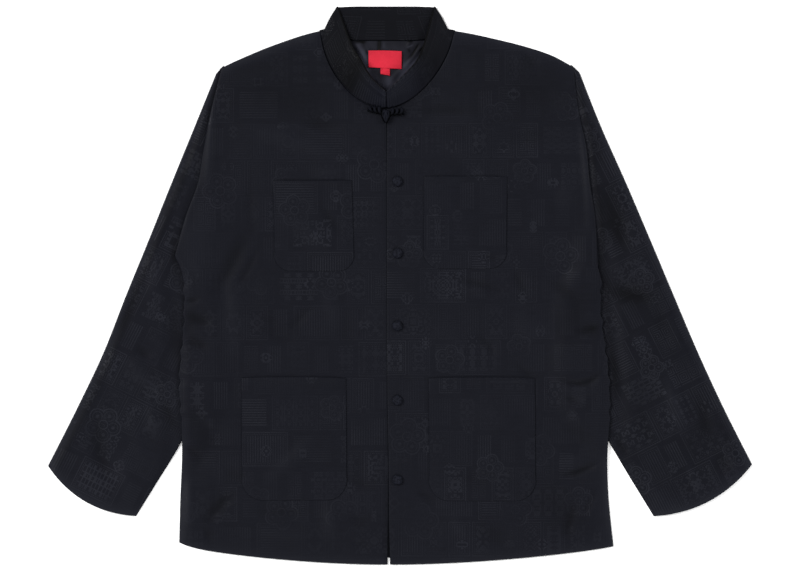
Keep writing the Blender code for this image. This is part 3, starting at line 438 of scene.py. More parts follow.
LINING_SHADES = crease_rows(  # strokes of painted light and shade on the satin, with a tone in place of a height
    (-0.0120, 0.3070, -0.0205, 0.2720, 0.0010, 0.0070, 1.10),
    (0.0290, 0.3360, -0.0090, 0.2890, 0.0000, 0.0050, 1.50),
    (-0.0670, 0.3560, -0.0500, 0.3280, 0.0000, 0.0040, 0.45),
    (-0.0590, 0.3440, -0.0400, 0.2900, 0.0000, 0.0055, 2.10),
    (-0.0540, 0.3660, -0.0510, 0.3360, 0.0000, 0.0034, -0.55),
    (-0.0550, 0.3490, 0.0450, 0.3490, 0.0000, 0.0080, -0.40),
    (-0.0430, 0.3080, -0.0260, 0.2780, 0.0000, 0.0050, 1.10),
    (-0.0290, 0.3640, -0.0310, 0.3270, 0.0000, 0.0021, -1.70),
    (-0.0230, 0.3560, -0.0235, 0.3370, 0.0000, 0.0026, 0.45),
    (-0.0740, 0.3510, -0.0440, 0.3500, 0.0000, 0.0022, -1.30),
    (-0.0505, 0.3420, -0.0455, 0.3300, 0.0000, 0.0014, -0.90),
    (0.0300, 0.3520, 0.0110, 0.3200, 0.0000, 0.0015, -1.90),
    (0.0380, 0.3480, 0.0240, 0.3330, 0.0000, 0.0014, -1.70),
    (0.0060, 0.3420, 0.0220, 0.3480, 0.0010, 0.0015, 0.70),
    (0.0080, 0.3500, 0.0210, 0.3525, 0.0008, 0.0012, -0.90),
    (0.0110, 0.3420, 0.0150, 0.3330, 0.0000, 0.0022, -0.80),
    (0.0048, 0.3270, 0.0062, 0.3100, 0.0000, 0.0012, 0.60),
    (-0.0265, 0.2990, -0.0225, 0.2800, -0.0006, 0.0009, 0.60),
)
CREASE_TAPER = 0.45  # share of a crease's length over which each end dies away
CREASE_PAINTED_LIGHT = 210  # change of tone for each metre of height: painted shade darkens troughs, painted light lightens ridges
RIM_SHEEN, RIM_SHEEN_RUN = 2.00, 0.0060  # painted sheen: the cloth shines a little as it rolls to its edges
# painted shade on the shoulders, deepening above this height, as they turn from the light
SHOULDER_SHADE, SHOULDER_SHADE_Y, SHOULDER_SHADE_RUN = 0.14, 0.18, 0.12
HEM_SHEEN = 0.6  # as a share of the painted sheen along the other edges
CUFF_SHEEN = 1.4
SIDE_SHEEN_OVER = 0.15  # the same, where a side lies over the sleeve
EDGE_SHADE = 0.35  # painted shade where the fronts turn down into the slit between them
EDGE_SHADE_RUN = {"right": 0.0052, "left": 0.0026}
EDGE_SHADE_LEAST, EDGE_SHADE_SHUT = 0.05, 0.5  # shares of it, the second where the slit is shut
EDGE_SHADE_GAP = 0.0012  # the slit's width that adds the whole of it
SLEEVE_PAINTED_LIGHT = {"right": 0.02, "left": -0.17}  # painted light and shade: each sleeve lies otherwise to the light
SIDE_SHADE = {"right": 0.32, "left": 0.34}  # painted shadow that the body casts on the sleeve beside it
SIDE_SHADE_AT = {"right": 0.0, "left": 0.0075}  # out from the body's side
SIDE_SHADE_RUN = {"right": 0.0040, "left": 0.0055}
SIDE_SHADE_END_Y, SIDE_SHADE_FADE = -0.20, 0.08
# painted sheen along a sleeve's outer fold, and painted shade a little in from it
FOLD_SHEEN_RUN = {"right": 0.0030, "left": 0.0045}
FOLD_SHADE = {"right": 0.42, "left": 0.10}
FOLD_SHADE_AT, FOLD_SHADE_RUN = 0.0095, 0.0065  # in from a sleeve's outer fold

# ------------------------------------------------------------------ the weave
BLOCK_WIDTH, BLOCK_HEIGHT = 0.068, 0.052
BLOCK_SLIDE = 0.37  # each row of blocks starts this share of a block further along
BLOCKS_WHOLE = 0.40  # share of the blocks that aren't halved
BLOCK_MARGIN = 0.0068  # figures stay this far inside a block
FRAMES_SKIPPED = 0.45  # share of the blocks that have no frame
FRAME_AT, FRAME_LINE = 0.0020, 0.0006  # a line's distance in from the rim, and half its width
BEADS_AT, BEADS_LINE, BEAD_PITCH = 0.0050, 0.0007, 0.0030
# Each kind of figure takes the blocks whose random number lies below its own; the rest have
# rings.
STRIPES_ACROSS, STRIPES_ALONG, LARGE_KNOTS, SMALL_KNOTS = 0.24, 0.34, 0.62, 0.86
STRIPE_PITCH, STRIPE_SHARE = 0.0036, 0.40  # and the share of the pitch that is a line
RING_PITCH, RING_SHARE = 0.0030, 0.42
TILE = 0.0165  # a figure is mirrored about each tile's middle
SMALL_STITCH, LARGE_STITCH, CHARM_STITCH = 0.0019, 0.0022, 0.0017
STITCHES_SKIPPED = 0.52  # share of a figure's places that are left bare
SCATTER_SLIDE, SCATTER_SHAKE = 0.43, 0.46  # from row to row, and at random, in pitches
CHARM_PITCH, CHARM_SIZE, CHARMS_SKIPPED = 0.057, 0.0085, 0.60
BLOSSOM_PITCH, BLOSSOM_SMALLEST, BLOSSOM_SPREAD, BLOSSOMS_SKIPPED = 0.118, 0.0098, 0.0056, 0.22
PETALS = 5
PETAL_EDGE, PETAL_RIM, PETAL_VEIN, PETAL_EYE = 0.84, 0.74, 0.48, 0.17  # shares of a blossom's size
HEART_EDGE, HEART_RING, HEART_EYE = 0.58, 0.44, 0.15  # shares of a blossom's size
WARP, WEFT = 0.0011, 0.0008  # pitch of the threads
TRIM_THREAD = 0.0009
RIB, LABEL_WARP = 0.0010, 0.0007

# ------------------------------------------------------------------ lights and camera
LightRow = namedtuple("LightRow", "name azimuth height strength")

LIGHTS = (  # angles in degrees, round from +X and up
    LightRow("Key", 152, 42, 4.2),
    LightRow("Fill", 20, 30, 1.7),
    LightRow("Front", -85, 45, 1.9),
)
LIGHT_SPREAD = 30
SKY_STRENGTH = 0.40
FLOOR_SIZE = 9.0
CAMERA_HEIGHT, VIEW_WIDTH, SENSOR_WIDTH = 8.0, 1.148, 36.0


# ------------------------------------------------------------------ sizes and colours
def length(name, description, default):
    """Return a property that holds a length in metres."""
    return FloatProperty(name=name, description=description, default=default, unit="LENGTH")


def colour(name, description, default):
    """Return a property that holds a colour."""
    return FloatVectorProperty(
        name=name, description=description, default=default, size=3, subtype="COLOR"
    )


class JacketSizes(bpy.types.PropertyGroup):
    """Sizes of the cloth and the closures."""

    cloth: length("Cloth", "Face cloth with its lining", 0.0015)
    thin_cloth: length("Pocket cloth", "Pockets and underlap", 0.0010)
    lining: length("Lining", "Satin inside the neck", 0.0010)
    label: length("Label", "Woven labels", 0.0008)
    collar: length("Collar", "Two layers and their stiffening", 0.0025)
    air: length("Air", "Between the back and the fronts", 0.0025)
    roll: length("Roll", "Width of the roll down to an edge", 0.014)
    ripple: length("Ripple", "Height of the cloth's soft waves", 0.0007)
    spacing: length("Spacing", "Between the threads of a grid", 0.0034)
    button_radius: length("Button radius", "Of a covered button", 0.0075)
    button_height: length("Button height", "Of a covered button", 0.0052)
    knot_radius: length("Knot radius", "Of the ball knot", 0.0070)
    cord: length("Cord", "Radius of the frog's cord", 0.0019)
    wing_loops: IntProperty(name="Loops", description="Loops of cord in each wing", default=3)


class JacketColours(bpy.types.PropertyGroup):
    """Colours of the cloth, the trim and the surface."""

    ground: colour("Ground", "The dull side of the jacquard", (0.0036, 0.0039, 0.0063))
    satin: colour("Satin", "The bright threads of the jacquard", (0.0090, 0.0096, 0.0132))
    trim: colour("Trim", "Buttons and frog closure", (0.0021, 0.0023, 0.0036))
    lining: colour("Lining", "Satin inside the neck", (0.0084, 0.0086, 0.0122))
    label: colour("Label", "Woven labels", (0.352, 0.0107, 0.0237))
    floor: colour("Floor", "The surface that the jacket lies on", (0.900, 0.900, 0.900))


# ------------------------------------------------------------------ curves and surfaces
def smooth_step(t):
    """Rise from 0 to 1 without a corner as t goes from 0 to 1."""
    t = np.clip(t, 0.0, 1.0)
    return t * t * (3.0 - 2.0 * t)


def bell(distance, width):
    """Return 1 where the distance is 0, dying away on both sides over this width."""
    return np.exp(-((distance / width) ** 2))


def smooth_path(points):
    """Return a function of t, 0 to 1, that runs evenly along a curve through the points."""
    knots = np.array([tuple(point) for point in points], float)
    reach = np.concatenate([[0.0], np.cumsum(np.linalg.norm(np.diff(knots, axis=0), axis=1))])
    last = len(knots) - 1
    low = np.maximum(np.arange(last + 1) - 1, 0)
    high = np.minimum(np.arange(last + 1) + 1, last)
    slopes = (knots[high] - knots[low]) / (reach[high] - reach[low])[:, None]

    def point_at(t):
        distance = min(1.0, max(0.0, t)) * reach[-1]
        i = max(k for k in range(last) if reach[k] <= distance)
        span = reach[i + 1] - reach[i]
        f = (distance - reach[i]) / span
        return (
            knots[i] * (1 + 2 * f) * (1 - f) ** 2
            + slopes[i] * span * f * (1 - f) ** 2
            + knots[i + 1] * f * f * (3 - 2 * f)
            + slopes[i + 1] * span * f * f * (f - 1)
        )

    return point_at


def puckered(path):
    """Return a side's path with the small puckers it has where it lies over the sleeve."""

    def point_at(t):
        place = path(t)
        over = smooth_step((place[1] - PUCKER_LOW) / PUCKER_FADE)
        over = over * smooth_step((PUCKER_HIGH - place[1]) / PUCKER_FADE)
        shift = sum(
            share * math.sin(place[1] * TURN / wave + start) for wave, share, start in PUCKER_WAVES
        )
        return place + np.array((PUCKER * over * shift, 0.0))

    return point_at


def joined_path(first, second, split):
    """Run along the first path until t reaches split, then along the second."""
    return lambda t: first(t / split) if t < split else second((t - split) / (1 - split))


def along(path, shares):
    """Return the points at these shares of a path, one to a row."""
    return np.array([path(share) for share in shares])


def patch(top, bottom, start, end, columns, rows):
    """Blend four edge paths into a grid of points in plan."""
    u = np.array(columns)[None, :, None]
    v = np.array(rows)[:, None, None]
    upper, lower = along(top, columns)[None], along(bottom, columns)[None]
    first, last = along(start, rows)[:, None], along(end, rows)[:, None]
    corners = (1 - v) * ((1 - u) * upper[:, :1] + u * upper[:, -1:])
    corners = corners + v * ((1 - u) * lower[:, :1] + u * lower[:, -1:])
    return (1 - v) * upper + v * lower + (1 - u) * first + u * last - corners


EDGE_STOPS = (0.0003, 0.0008, 0.0015, 0.0025, 0.0045)  # rows of their own beside an edge


def shares(length, spacing, first=True, last=True):
    """Return places from 0 to 1 along a length, even but close together at its edges."""
    stops = [stop / length for stop in EDGE_STOPS]
    start = stops if first else []
    end = [1 - stop for stop in reversed(stops)] if last else []
    low, high = (stops[-1] if first else 0.0), (1 - stops[-1] if last else 1.0)
    count = max(2, round((high - low) * length / spacing))
    middle = [low + (high - low) * i / count for i in range(1, count)]
    return [0.0, *start, *middle, *end, 1.0]


def split_shares(first, second, split, spacing):
    """Return places down a sheet in two lengths that meet at split, close together at its ends."""
    upper = [share * split for share in shares(first, spacing, last=False)]
    lower = [split + share * (1 - split) for share in shares(second, spacing, first=False)]
    return upper + lower[1:]


def edge_points(rows, side):
    """Read one side's column of an edge table."""
    return [(getattr(row, side + "_x"), getattr(row, side + "_y")) for row in rows]


def crease_heights(x, y, rows):
    """Add up the ridges and troughs at each place."""
    height = np.zeros_like(x)
    for row in rows:
        run = Vector((row.end_x - row.start_x, row.end_y - row.start_y))
        share = ((x - row.start_x) * run.x + (y - row.start_y) * run.y) / run.length_squared
        aside = ((x - row.start_x) * run.y - (y - row.start_y) * run.x) / run.length
        aside = aside - row.bend * 4 * share * (1 - share)
        ends = smooth_step(share / CREASE_TAPER) * smooth_step((1 - share) / CREASE_TAPER)
        height = height + row.height * ends * bell(aside, row.width)
    return height


def ripples(x, y, wave, seed):
    """Return a soft unevenness, from about -1 to 1, with waves of this length."""
    flat = [
        noise.noise(Vector((px / wave, py / wave, seed)))
        for px, py in zip(x.ravel(), y.ravel())
    ]
    return np.array(flat).reshape(x.shape) * 1.6


def cloth_relief(x, y, creases, waves, ripple):
    """Return the height of a piece's creases and of its soft waves."""
    height = crease_heights(x, y, creases)
    for wave in waves:
        height = height + wave.share * ripple * ripples(x, y, wave.length, wave.seed)
    return height


# ------------------------------------------------------------------ the jacket's two sides
def neck_corner(side):
    """Return the point where the shoulder meets the neck."""
    return np.array(edge_points(SHOULDER, side)[0])


def centre_line(y):
    """Return where the line between the fronts lies at these heights, and how wide it gapes."""
    heights, shifts, gaps = zip(*CENTRE_LINE)
    return NECK_X + np.interp(y, heights, shifts), np.interp(y, heights, gaps)


def neck_seam(side):
    """Return the path of the front neck seam, from the shoulder to the throat."""
    corner = neck_corner(side)
    power = 2 / NECK_FULLNESS[side]
    throat_x = centre_line(corner[1] - NECK_DEPTH)[0]

    def point_at(t):
        angle = t * math.pi / 2
        across = math.cos(angle) ** power if t < 1 else 0.0
        down = math.sin(angle) ** power
        return (throat_x + (corner[0] - throat_x) * across, corner[1] - NECK_DEPTH * down)

    return smooth_path([point_at(i / NECK_SAMPLES) for i in range(NECK_SAMPLES + 1)])


def body_edge(side, split):
    """Return the path down the armhole, up to split, and then down the side."""
    armhole = smooth_path(edge_points(ARMHOLE, side))
    return joined_path(armhole, puckered(smooth_path(edge_points(SIDE, side))), split)


def front_edge(side):
    """Return the path of the front edge, from the throat to the hem."""
    throat_y = neck_corner(side)[1] - NECK_DEPTH

    def point_at(t):
        y = throat_y + (HEM_Y - throat_y) * t
        line, gap = centre_line(y)
        return np.array((line + OUTWARD[side] * gap / 2, y))

    return point_at


def hem_path(side, rise=0.0):
    """Return the bowed path of the hem, from the front edge to the side."""
    corner = edge_points(SIDE, side)[-1]
    line, slit = centre_line(HEM_Y)
    start_x = line + OUTWARD[side] * slit / 2

    def point_at(t):
        x = start_x + (corner[0] - start_x) * t
        bow = (1 - HEM_TURN[side]) * t ** HEM_POWER + HEM_TURN[side] * t ** HEM_TURN_POWER
        y = HEM_Y + (corner[1] - HEM_Y) * bow + rise * (1 - t ** HEM_RISE_SQUARE)
        return np.array((x, y))

    return point_at


def edge_x_at(rows, side, y):
    """Return where an edge that runs down the jacket lies at these heights."""
    points = np.array(edge_points(rows, side))[::-1]
    return np.interp(y, points[:, 1], points[:, 0])


def tuck_window(side, y):
    """Return 1 at the heights where the sleeve is under the body, dying away beyond them."""
    armpit_y = edge_points(SIDE, side)[0][1] + TUCK_MARGIN
    leave_y = TUCK_END_Y - TUCK_MARGIN
    above = smooth_step(1 - (y - armpit_y) / TUCK_FADE)
    return above * smooth_step(1 - (leave_y - y) / TUCK_FADE)


def body_lift(x, y):
    """Return how far the tucked sleeves lift the back at each place."""
    lift = np.zeros_like(x)
    for side in SIDES:
        here = x < NECK_X if side == "right" else x >= NECK_X
        inward = (edge_x_at(SLEEVE_UNDER, side, y) - x) * OUTWARD[side] - TUCK_MARGIN
        ramp = TUCK_LIFT * smooth_step(1 - inward / TUCK_RAMP) * tuck_window(side, y)
        lift = np.where(here, ramp, lift)
    return lift


def rolled(from_edge, from_hem, sizes):
    """Return the share of its height that cloth has at its distances from an edge and a hem."""
    roll = smooth_step(from_edge / sizes.roll)
    return roll * (HEM_PUFF + (1 - HEM_PUFF) * smooth_step(from_hem / sizes.roll))


def front_top(x, y, sizes):
    """Return the height of a front's outer face away from its edges."""
    x, y = np.asarray(x, float), np.asarray(y, float)
    relief = cloth_relief(x, y, BODY_CREASES, BODY_WAVES, sizes.ripple)
    open_cloth = smooth_step((np.abs(x - NECK_X) - PLACKET) / PLACKET_FADE)
    relief = relief * (PLACKET_RELIEF + (1 - PLACKET_RELIEF) * open_cloth)
    relief = np.maximum(relief, -sizes.air * DEEPEST)
    return body_lift(x, y) + 2 * sizes.cloth + sizes.air + relief


def front_painted_light(x, y):
    """Return the painted light and shade on a front's cloth, for its creases and its slopes."""
    tone = CREASE_PAINTED_LIGHT * crease_heights(x, y, BODY_CREASES)
    tone = tone - SHOULDER_SHADE * smooth_step((y - SHOULDER_SHADE_Y) / SHOULDER_SHADE_RUN)
    line, gap = centre_line(y)
    reach = np.where(x < line, EDGE_SHADE_RUN["right"], EDGE_SHADE_RUN["left"])
    depth = EDGE_SHADE * np.clip(EDGE_SHADE_SHUT + gap / EDGE_SHADE_GAP, EDGE_SHADE_LEAST, 1.0)
    return np.clip(tone - depth * bell(x - line, reach), -1.0, 1.0)


# ------------------------------------------------------------------ making pieces
def rim_sheen(distance, run=RIM_SHEEN_RUN):
    """Return the painted sheen: how much lighter the cloth is at a distance from its rolled edge."""
    return RIM_SHEEN * np.exp(-np.maximum(distance, 0.0) / run)


def own_mesh(name):
    """Name the object that was just added, and its mesh, and return it."""
    piece = bpy.context.object
    piece.name = piece.data.name = name
    return piece


def edge_distances(points, closed):
    """Return how far each point of a grid lies along the cloth from its nearest cut edge."""
    nearest = np.full(points.shape[:2], np.inf)
    for axis in (0,) if closed else (0, 1):
        steps = np.linalg.norm(np.diff(points, axis=axis), axis=2)
        run = np.insert(np.cumsum(steps, axis=axis), 0, 0.0, axis=axis)
        total = run.take([-1], axis=axis)
        nearest = np.minimum(nearest, np.minimum(run, total - run))
    return nearest


def lay_sheet(
    name, points, pattern, thickness, offset=1.0, closed=False, rounding=ROUNDING, tone=0.0
):
    """Make a sheet of cloth through a grid of points, with its wall and its rounded edges.

    The points and the pattern's places, both in metres, stand in rows. offset is 1 for a wall
    along the normals, -1 against them and 0 on both sides. tone is painted light and shade on the cloth.
    """
    rows, columns = points.shape[:2]
    bpy.ops.mesh.primitive_grid_add(
        x_subdivisions=columns - 1, y_subdivisions=rows - 1, size=1.0, calc_uvs=True
    )
    sheet = own_mesh(name)
    mesh = sheet.data
    flat = np.empty(len(mesh.vertices) * 3)
    mesh.vertices.foreach_get("co", flat)
    flat = flat.reshape(-1, 3)
    column = np.rint((flat[:, 0] + 0.5) * (columns - 1)).astype(int)
    row = np.rint((0.5 - flat[:, 1]) * (rows - 1)).astype(int)
    mesh.vertices.foreach_set("co", points[row, column].ravel())
    corners = np.empty(len(mesh.loops), int)
    mesh.loops.foreach_get("vertex_index", corners)
    mesh.uv_layers[0].name = "cloth"
    mesh.uv_layers[0].data.foreach_set("uv", pattern[row, column][corners].ravel())
    tones = mesh.attributes.new("tone", "FLOAT", "POINT")
    tones.data.foreach_set("value", np.broadcast_to(tone, points.shape[:2])[row, column].ravel())
    rounded = sheet.vertex_groups.new(name="thickness")
    depth = np.clip(edge_distances(points, closed)[row, column] / rounding, 0.0, 1.0)
    for i, share in enumerate(np.sqrt(1 - (1 - depth) ** 2)):
        rounded.add([i], max(EDGE_THICKNESS, float(share)), "REPLACE")
    if closed:
        merge_points(mesh)
    wall = sheet.modifiers.new("wall", "SOLIDIFY")
    wall.thickness = thickness
    wall.offset = offset
    wall.use_even_offset = False
    wall.vertex_group = "thickness"
    wall.thickness_vertex_group = 0.0
    finish_piece(sheet)
    return sheet


def merge_points(mesh):
    """Weld the points of a mesh that share a place."""
    work = bmesh.new()
    work.from_mesh(mesh)
    bmesh.ops.remove_doubles(work, verts=work.verts, dist=1e-6)
    work.to_mesh(mesh)
    work.free()


def finish_piece(piece):
    """Apply a piece's modifiers and its place, and smooth its faces."""
    bpy.ops.object.select_all(action="DESELECT")
    piece.select_set(True)
    bpy.context.view_layer.objects.active = piece
    for modifier in list(piece.modifiers):
        bpy.ops.object.modifier_apply(modifier=modifier.name)
    bpy.ops.object.transform_apply(location=True, rotation=True, scale=True)
    bpy.ops.object.shade_smooth_by_angle(angle=math.radians(50))
    bpy.ops.object.select_all(action="DESELECT")


def dress(piece, node, finish):
    """Give a piece its finish, and let it stand for its solid."""
    piece.data.materials.clear()
    piece.data.materials.append(finish_named(finish))
    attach(piece, BODY)
    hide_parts(node)


def declare_sheet(points):
    """Work out what size a sheet was cut to, that of its grid laid out; nothing is kept of it."""
    across = np.linalg.norm(np.diff(points, axis=1), axis=2).sum(axis=1).max()
    down = np.linalg.norm(np.diff(points, axis=0), axis=2).sum(axis=0).max()
    first = np.cross(points[:-1, 1:] - points[:-1, :-1], points[1:, :-1] - points[:-1, :-1])
    second = np.cross(points[1:, :-1] - points[1:, 1:], points[:-1, 1:] - points[1:, 1:])


def lay_piece(node, finish, points, thickness, rests_on, turn=0.0, pattern=None, **cloth):
    """Lay a sheet for a node in its finish, cut from its own place on the cloth."""
    if pattern is None:
        pattern = plan_pattern(points, CUT_PLACES[node], turn)
    sheet = lay_sheet(node.capitalize(), points, pattern, thickness, **cloth)
    dress(sheet, node, finish)
    declare_sheet(points)


def plan_pattern(points, shift, turn):
    """Return the pattern's places for cloth that lies flat, its grain turned by an angle."""
    c, s = math.cos(turn), math.sin(turn)
    x, y = points[..., 0], points[..., 1]
    return np.stack([c * x + s * y + shift[0], c * y - s * x + shift[1]], axis=-1)


# ------------------------------------------------------------------ finishes
class Number:
    """A number that changes over a surface. Sums on it add the nodes that work them out."""

    def __init__(self, finish, socket):
        self.finish = finish
        self.socket = socket

    def math(self, operation, *others):
        """Add a Math node that takes this number first."""
        return self.finish.math(operation, self, *others)

    def __add__(self, other):
        return self.math("ADD", other)

    __radd__ = __add__

    def __mul__(self, other):
        return self.math("MULTIPLY", other)

    __rmul__ = __mul__

    def __sub__(self, other):
        return self.math("SUBTRACT", other)

    def __rsub__(self, other):
        return self.finish.math("SUBTRACT", other, self)

    def __truediv__(self, other):
        return self.math("DIVIDE", other)

    def __rtruediv__(self, other):
        return self.finish.math("DIVIDE", other, self)

    def __lt__(self, other):
        return self.math("LESS_THAN", other)

    def __gt__(self, other):
        return self.math("GREATER_THAN", other)

    def __abs__(self):
        return self.math("ABSOLUTE")

    def __floor__(self):
        return self.math("FLOOR")

    def part(self):
        """Return what is left of the number over the whole number below it."""
        return self.math("FRACT")

    def least(self, other):
        """Return the lower of the two numbers."""
        return self.math("MINIMUM", other)

    def most(self, other):
        """Return the higher of the two numbers."""
        return self.math("MAXIMUM", other)

    def near(self, other, reach):
        """Return 1 within reach of the other number, and 0 elsewhere."""
        return self.math("COMPARE", other, reach)


class Finish:
    """A material, its Principled shader and the nodes that feed it."""

    def __init__(self, name):
        self.material = bpy.data.materials.new(name)
        self.material.use_nodes = True
        self.tree = self.material.node_tree
        self.shader = self.tree.nodes["Principled BSDF"]

    def node(self, kind, settings=None, inputs=None):
        """Add a node: its settings go in first, then its sockets' values and links."""
        node = self.tree.nodes.new(kind)
        for name, value in (settings or {}).items():
            setattr(node, name, value)
        for key, value in (inputs or {}).items():
            self.feed(node.inputs[key], value)
        return node

    def feed(self, socket, value):
        """Link a number or a socket to a socket, or set the socket's own value."""
        value = value.socket if isinstance(value, Number) else value
        if isinstance(value, bpy.types.NodeSocket):
            self.tree.links.new(value, socket)
        else:
            socket.default_value = value

    def math(self, operation, *values):
        """Add a Math node and return what it works out."""
        node = self.node("ShaderNodeMath", {"operation": operation}, dict(enumerate(values)))
        return Number(self, node.outputs[0])

    def numbers(self, socket):
        """Split a vector or a colour into its three numbers."""
        split = self.node("ShaderNodeSeparateXYZ", None, {0: socket})
        return [Number(self, output) for output in split.outputs]

    def vector(self, x, y, z=0.0):
        """Join three numbers into a vector."""
        return self.node("ShaderNodeCombineXYZ", None, {0: x, 1: y, 2: z}).outputs[0]

    def random(self, x, y, seed):
        """Return three random numbers for each whole x and y."""
        white = self.node(
            "ShaderNodeTexWhiteNoise", {"noise_dimensions": "3D"}, {0: self.vector(x, y, seed)}
        )
        return self.numbers(white.outputs["Color"])

    def cloud(self, x, y, detail=2.0):
        """Return a soft noise from 0 to 1 over x and y."""
        cloud = self.node(
            "ShaderNodeTexNoise",
            {"noise_dimensions": "2D"},
            {"Vector": self.vector(x, y), "Scale": 1.0, "Detail": detail},
        )
        return Number(self, cloud.outputs[0])

    def choose(self, share, first, second):
        """Mix two numbers."""
        mix = self.node("ShaderNodeMix", {"data_type": "FLOAT"}, {0: share, 2: first, 3: second})
        return Number(self, mix.outputs[0])

    def blend(self, share, first, second):
        """Mix two colours."""
        mix = self.node("ShaderNodeMix", {"data_type": "RGBA"}, {0: share, 6: first, 7: second})
        return mix.outputs[2]

    def places(self):
        """Return the pattern's x and y, in metres along the cloth."""
        spots = self.node("ShaderNodeUVMap", {"uv_map": "cloth"})
        return self.numbers(spots.outputs[0])[:2]

    def tone(self):
        """Return the painted light and shade: how much lighter or darker than usual the cloth is."""
        return Number(self, self.node("ShaderNodeAttribute", {"attribute_name": "tone"}).outputs[2])

    def object_places(self):
        """Return a point's x, y and z in metres."""
        return self.numbers(self.node("ShaderNodeTexCoord").outputs["Object"])

    def bump(self, height, strength, distance):
        """Raise the surface by a number from 0 to 1, over this distance."""
        inputs = {"Strength": strength, "Distance": distance, "Height": height}
        self.feed(self.shader.inputs["Normal"], self.node("ShaderNodeBump", None, inputs).outputs[0])

    def set(self, **values):
        """Set or link the shader's sockets, named with underscores for spaces."""
        for name, value in values.items():
            self.feed(self.shader.inputs[name.replace("_", " ")], value)


def scattered(finish, x, y, pitch, seed):
    """Return a place's offset from the nearest of a lattice of shaken points, and its randoms."""
    row = math.floor(y / pitch)
    slid = x / pitch + row * SCATTER_SLIDE
    column = math.floor(slid)
    shake_x, shake_y, pick = finish.random(column, row, seed)
    dx = (slid - column - 0.5 + (shake_x - 0.5) * SCATTER_SHAKE) * pitch
    dy = (y / pitch - row - 0.5 + (shake_y - 0.5) * SCATTER_SHAKE) * pitch
    return dx, dy, pick


def knotwork(finish, first, second, stitch, seed):
    """Return random stitches for two mirrored distances: a small figure, alike on its sides."""
    column, row = math.floor(first / stitch), math.floor(second / stitch)
    stitches, _, _ = finish.random(column + seed * 9.7, row + seed * 4.3, seed)
    return stitches > STITCHES_SKIPPED


def stripes(place, pitch, share):
    """Return stripes that cover this share of their pitch."""
    return (place / pitch).part() < share


def woven_blocks(finish, x, y):
    """Return the lines of a mosaic of blocks, and a random shade and boldness for each block."""
    row = math.floor(y / BLOCK_HEIGHT)
    slid = x / BLOCK_WIDTH + row * BLOCK_SLIDE
    halving, _, _ = finish.random(math.floor(slid), row, 1.0)
    parts = 1 + (halving > BLOCKS_WHOLE)
    column = math.floor(slid * parts)
    kind, shade, bold = finish.random(column, row, 2.0)
    a = (slid * parts - column - 0.5) / parts * BLOCK_WIDTH
    b = (y / BLOCK_HEIGHT - row - 0.5) * BLOCK_HEIGHT
    rim = (BLOCK_WIDTH / 2 / parts - abs(a)).least(BLOCK_HEIGHT / 2 - abs(b))
    beads = rim.near(BEADS_AT, BEADS_LINE) * stripes(a + b, BEAD_PITCH, 0.5)
    frame_lines = rim.near(FRAME_AT, FRAME_LINE).most(beads)
    frame_lines = frame_lines * ((kind * 7).part() > FRAMES_SKIPPED)
    across, down = abs((a / TILE).part() - 0.5) * TILE, abs((b / TILE).part() - 0.5) * TILE
    small = knotwork(finish, across, down, SMALL_STITCH, kind * 50)
    large = knotwork(finish, abs(a).most(abs(b)), abs(a).least(abs(b)), LARGE_STITCH, kind * 50)
    lines = stripes(across.most(down), RING_PITCH, RING_SHARE)
    lines = finish.choose(kind < SMALL_KNOTS, lines, small)
    lines = finish.choose(kind < LARGE_KNOTS, lines, large)
    lines = finish.choose(kind < STRIPES_ALONG, lines, stripes(b, STRIPE_PITCH, STRIPE_SHARE))
    lines = finish.choose(kind < STRIPES_ACROSS, lines, stripes(a, STRIPE_PITCH, STRIPE_SHARE))
    return (lines * (rim > BLOCK_MARGIN)).most(frame_lines), shade, bold


def charms(finish, x, y):
    """Return the stitches of small scattered knots, and the places inside them."""
    dx, dy, pick = scattered(finish, x, y, CHARM_PITCH, 8.0)
    across, down = abs(dx), abs(dy)
    inside = ((across + down) < CHARM_SIZE * 1.25) * (across.most(down) < CHARM_SIZE)
    inside = inside * (pick > CHARMS_SKIPPED)
    return knotwork(finish, across, down, CHARM_STITCH, pick * 40), inside


def blossoms(finish, x, y):
    """Return the lines of scattered five-petalled blossoms, and the places inside them."""
    dx, dy, pick = scattered(finish, x, y, BLOSSOM_PITCH, 5.0)
    size = (pick * 37).part() * BLOSSOM_SPREAD + BLOSSOM_SMALLEST
    reach = (dx * dx + dy * dy).math("SQRT")
    sector = TURN / PETALS
    angle = dy.math("ARCTAN2", dx) + pick * 9.0
    folded = ((angle / sector).part() - 0.5) * sector
    out, aside = reach * folded.math("COSINE") - size, reach * folded.math("SINE")
    petal = (out * out + aside * aside).math("SQRT")
    inside = (petal < size * PETAL_EDGE) * (pick > BLOSSOMS_SKIPPED)
    veins = petal.near(size * PETAL_VEIN, 0.0006) * 0.7
    lines = petal.near(size * PETAL_RIM, 0.0009).most(veins)
    lines = lines.most((petal < size * PETAL_EYE) * 0.8)
    heart = reach.near(size * HEART_RING, 0.0008).most(reach < size * HEART_EYE)
    return finish.choose(reach < size * HEART_EDGE, lines, heart), inside


def scaled(value, factor=1.0):
    """Return a colour property made lighter or darker, with its alpha."""
    return (*(part * factor for part in value), 1.0)


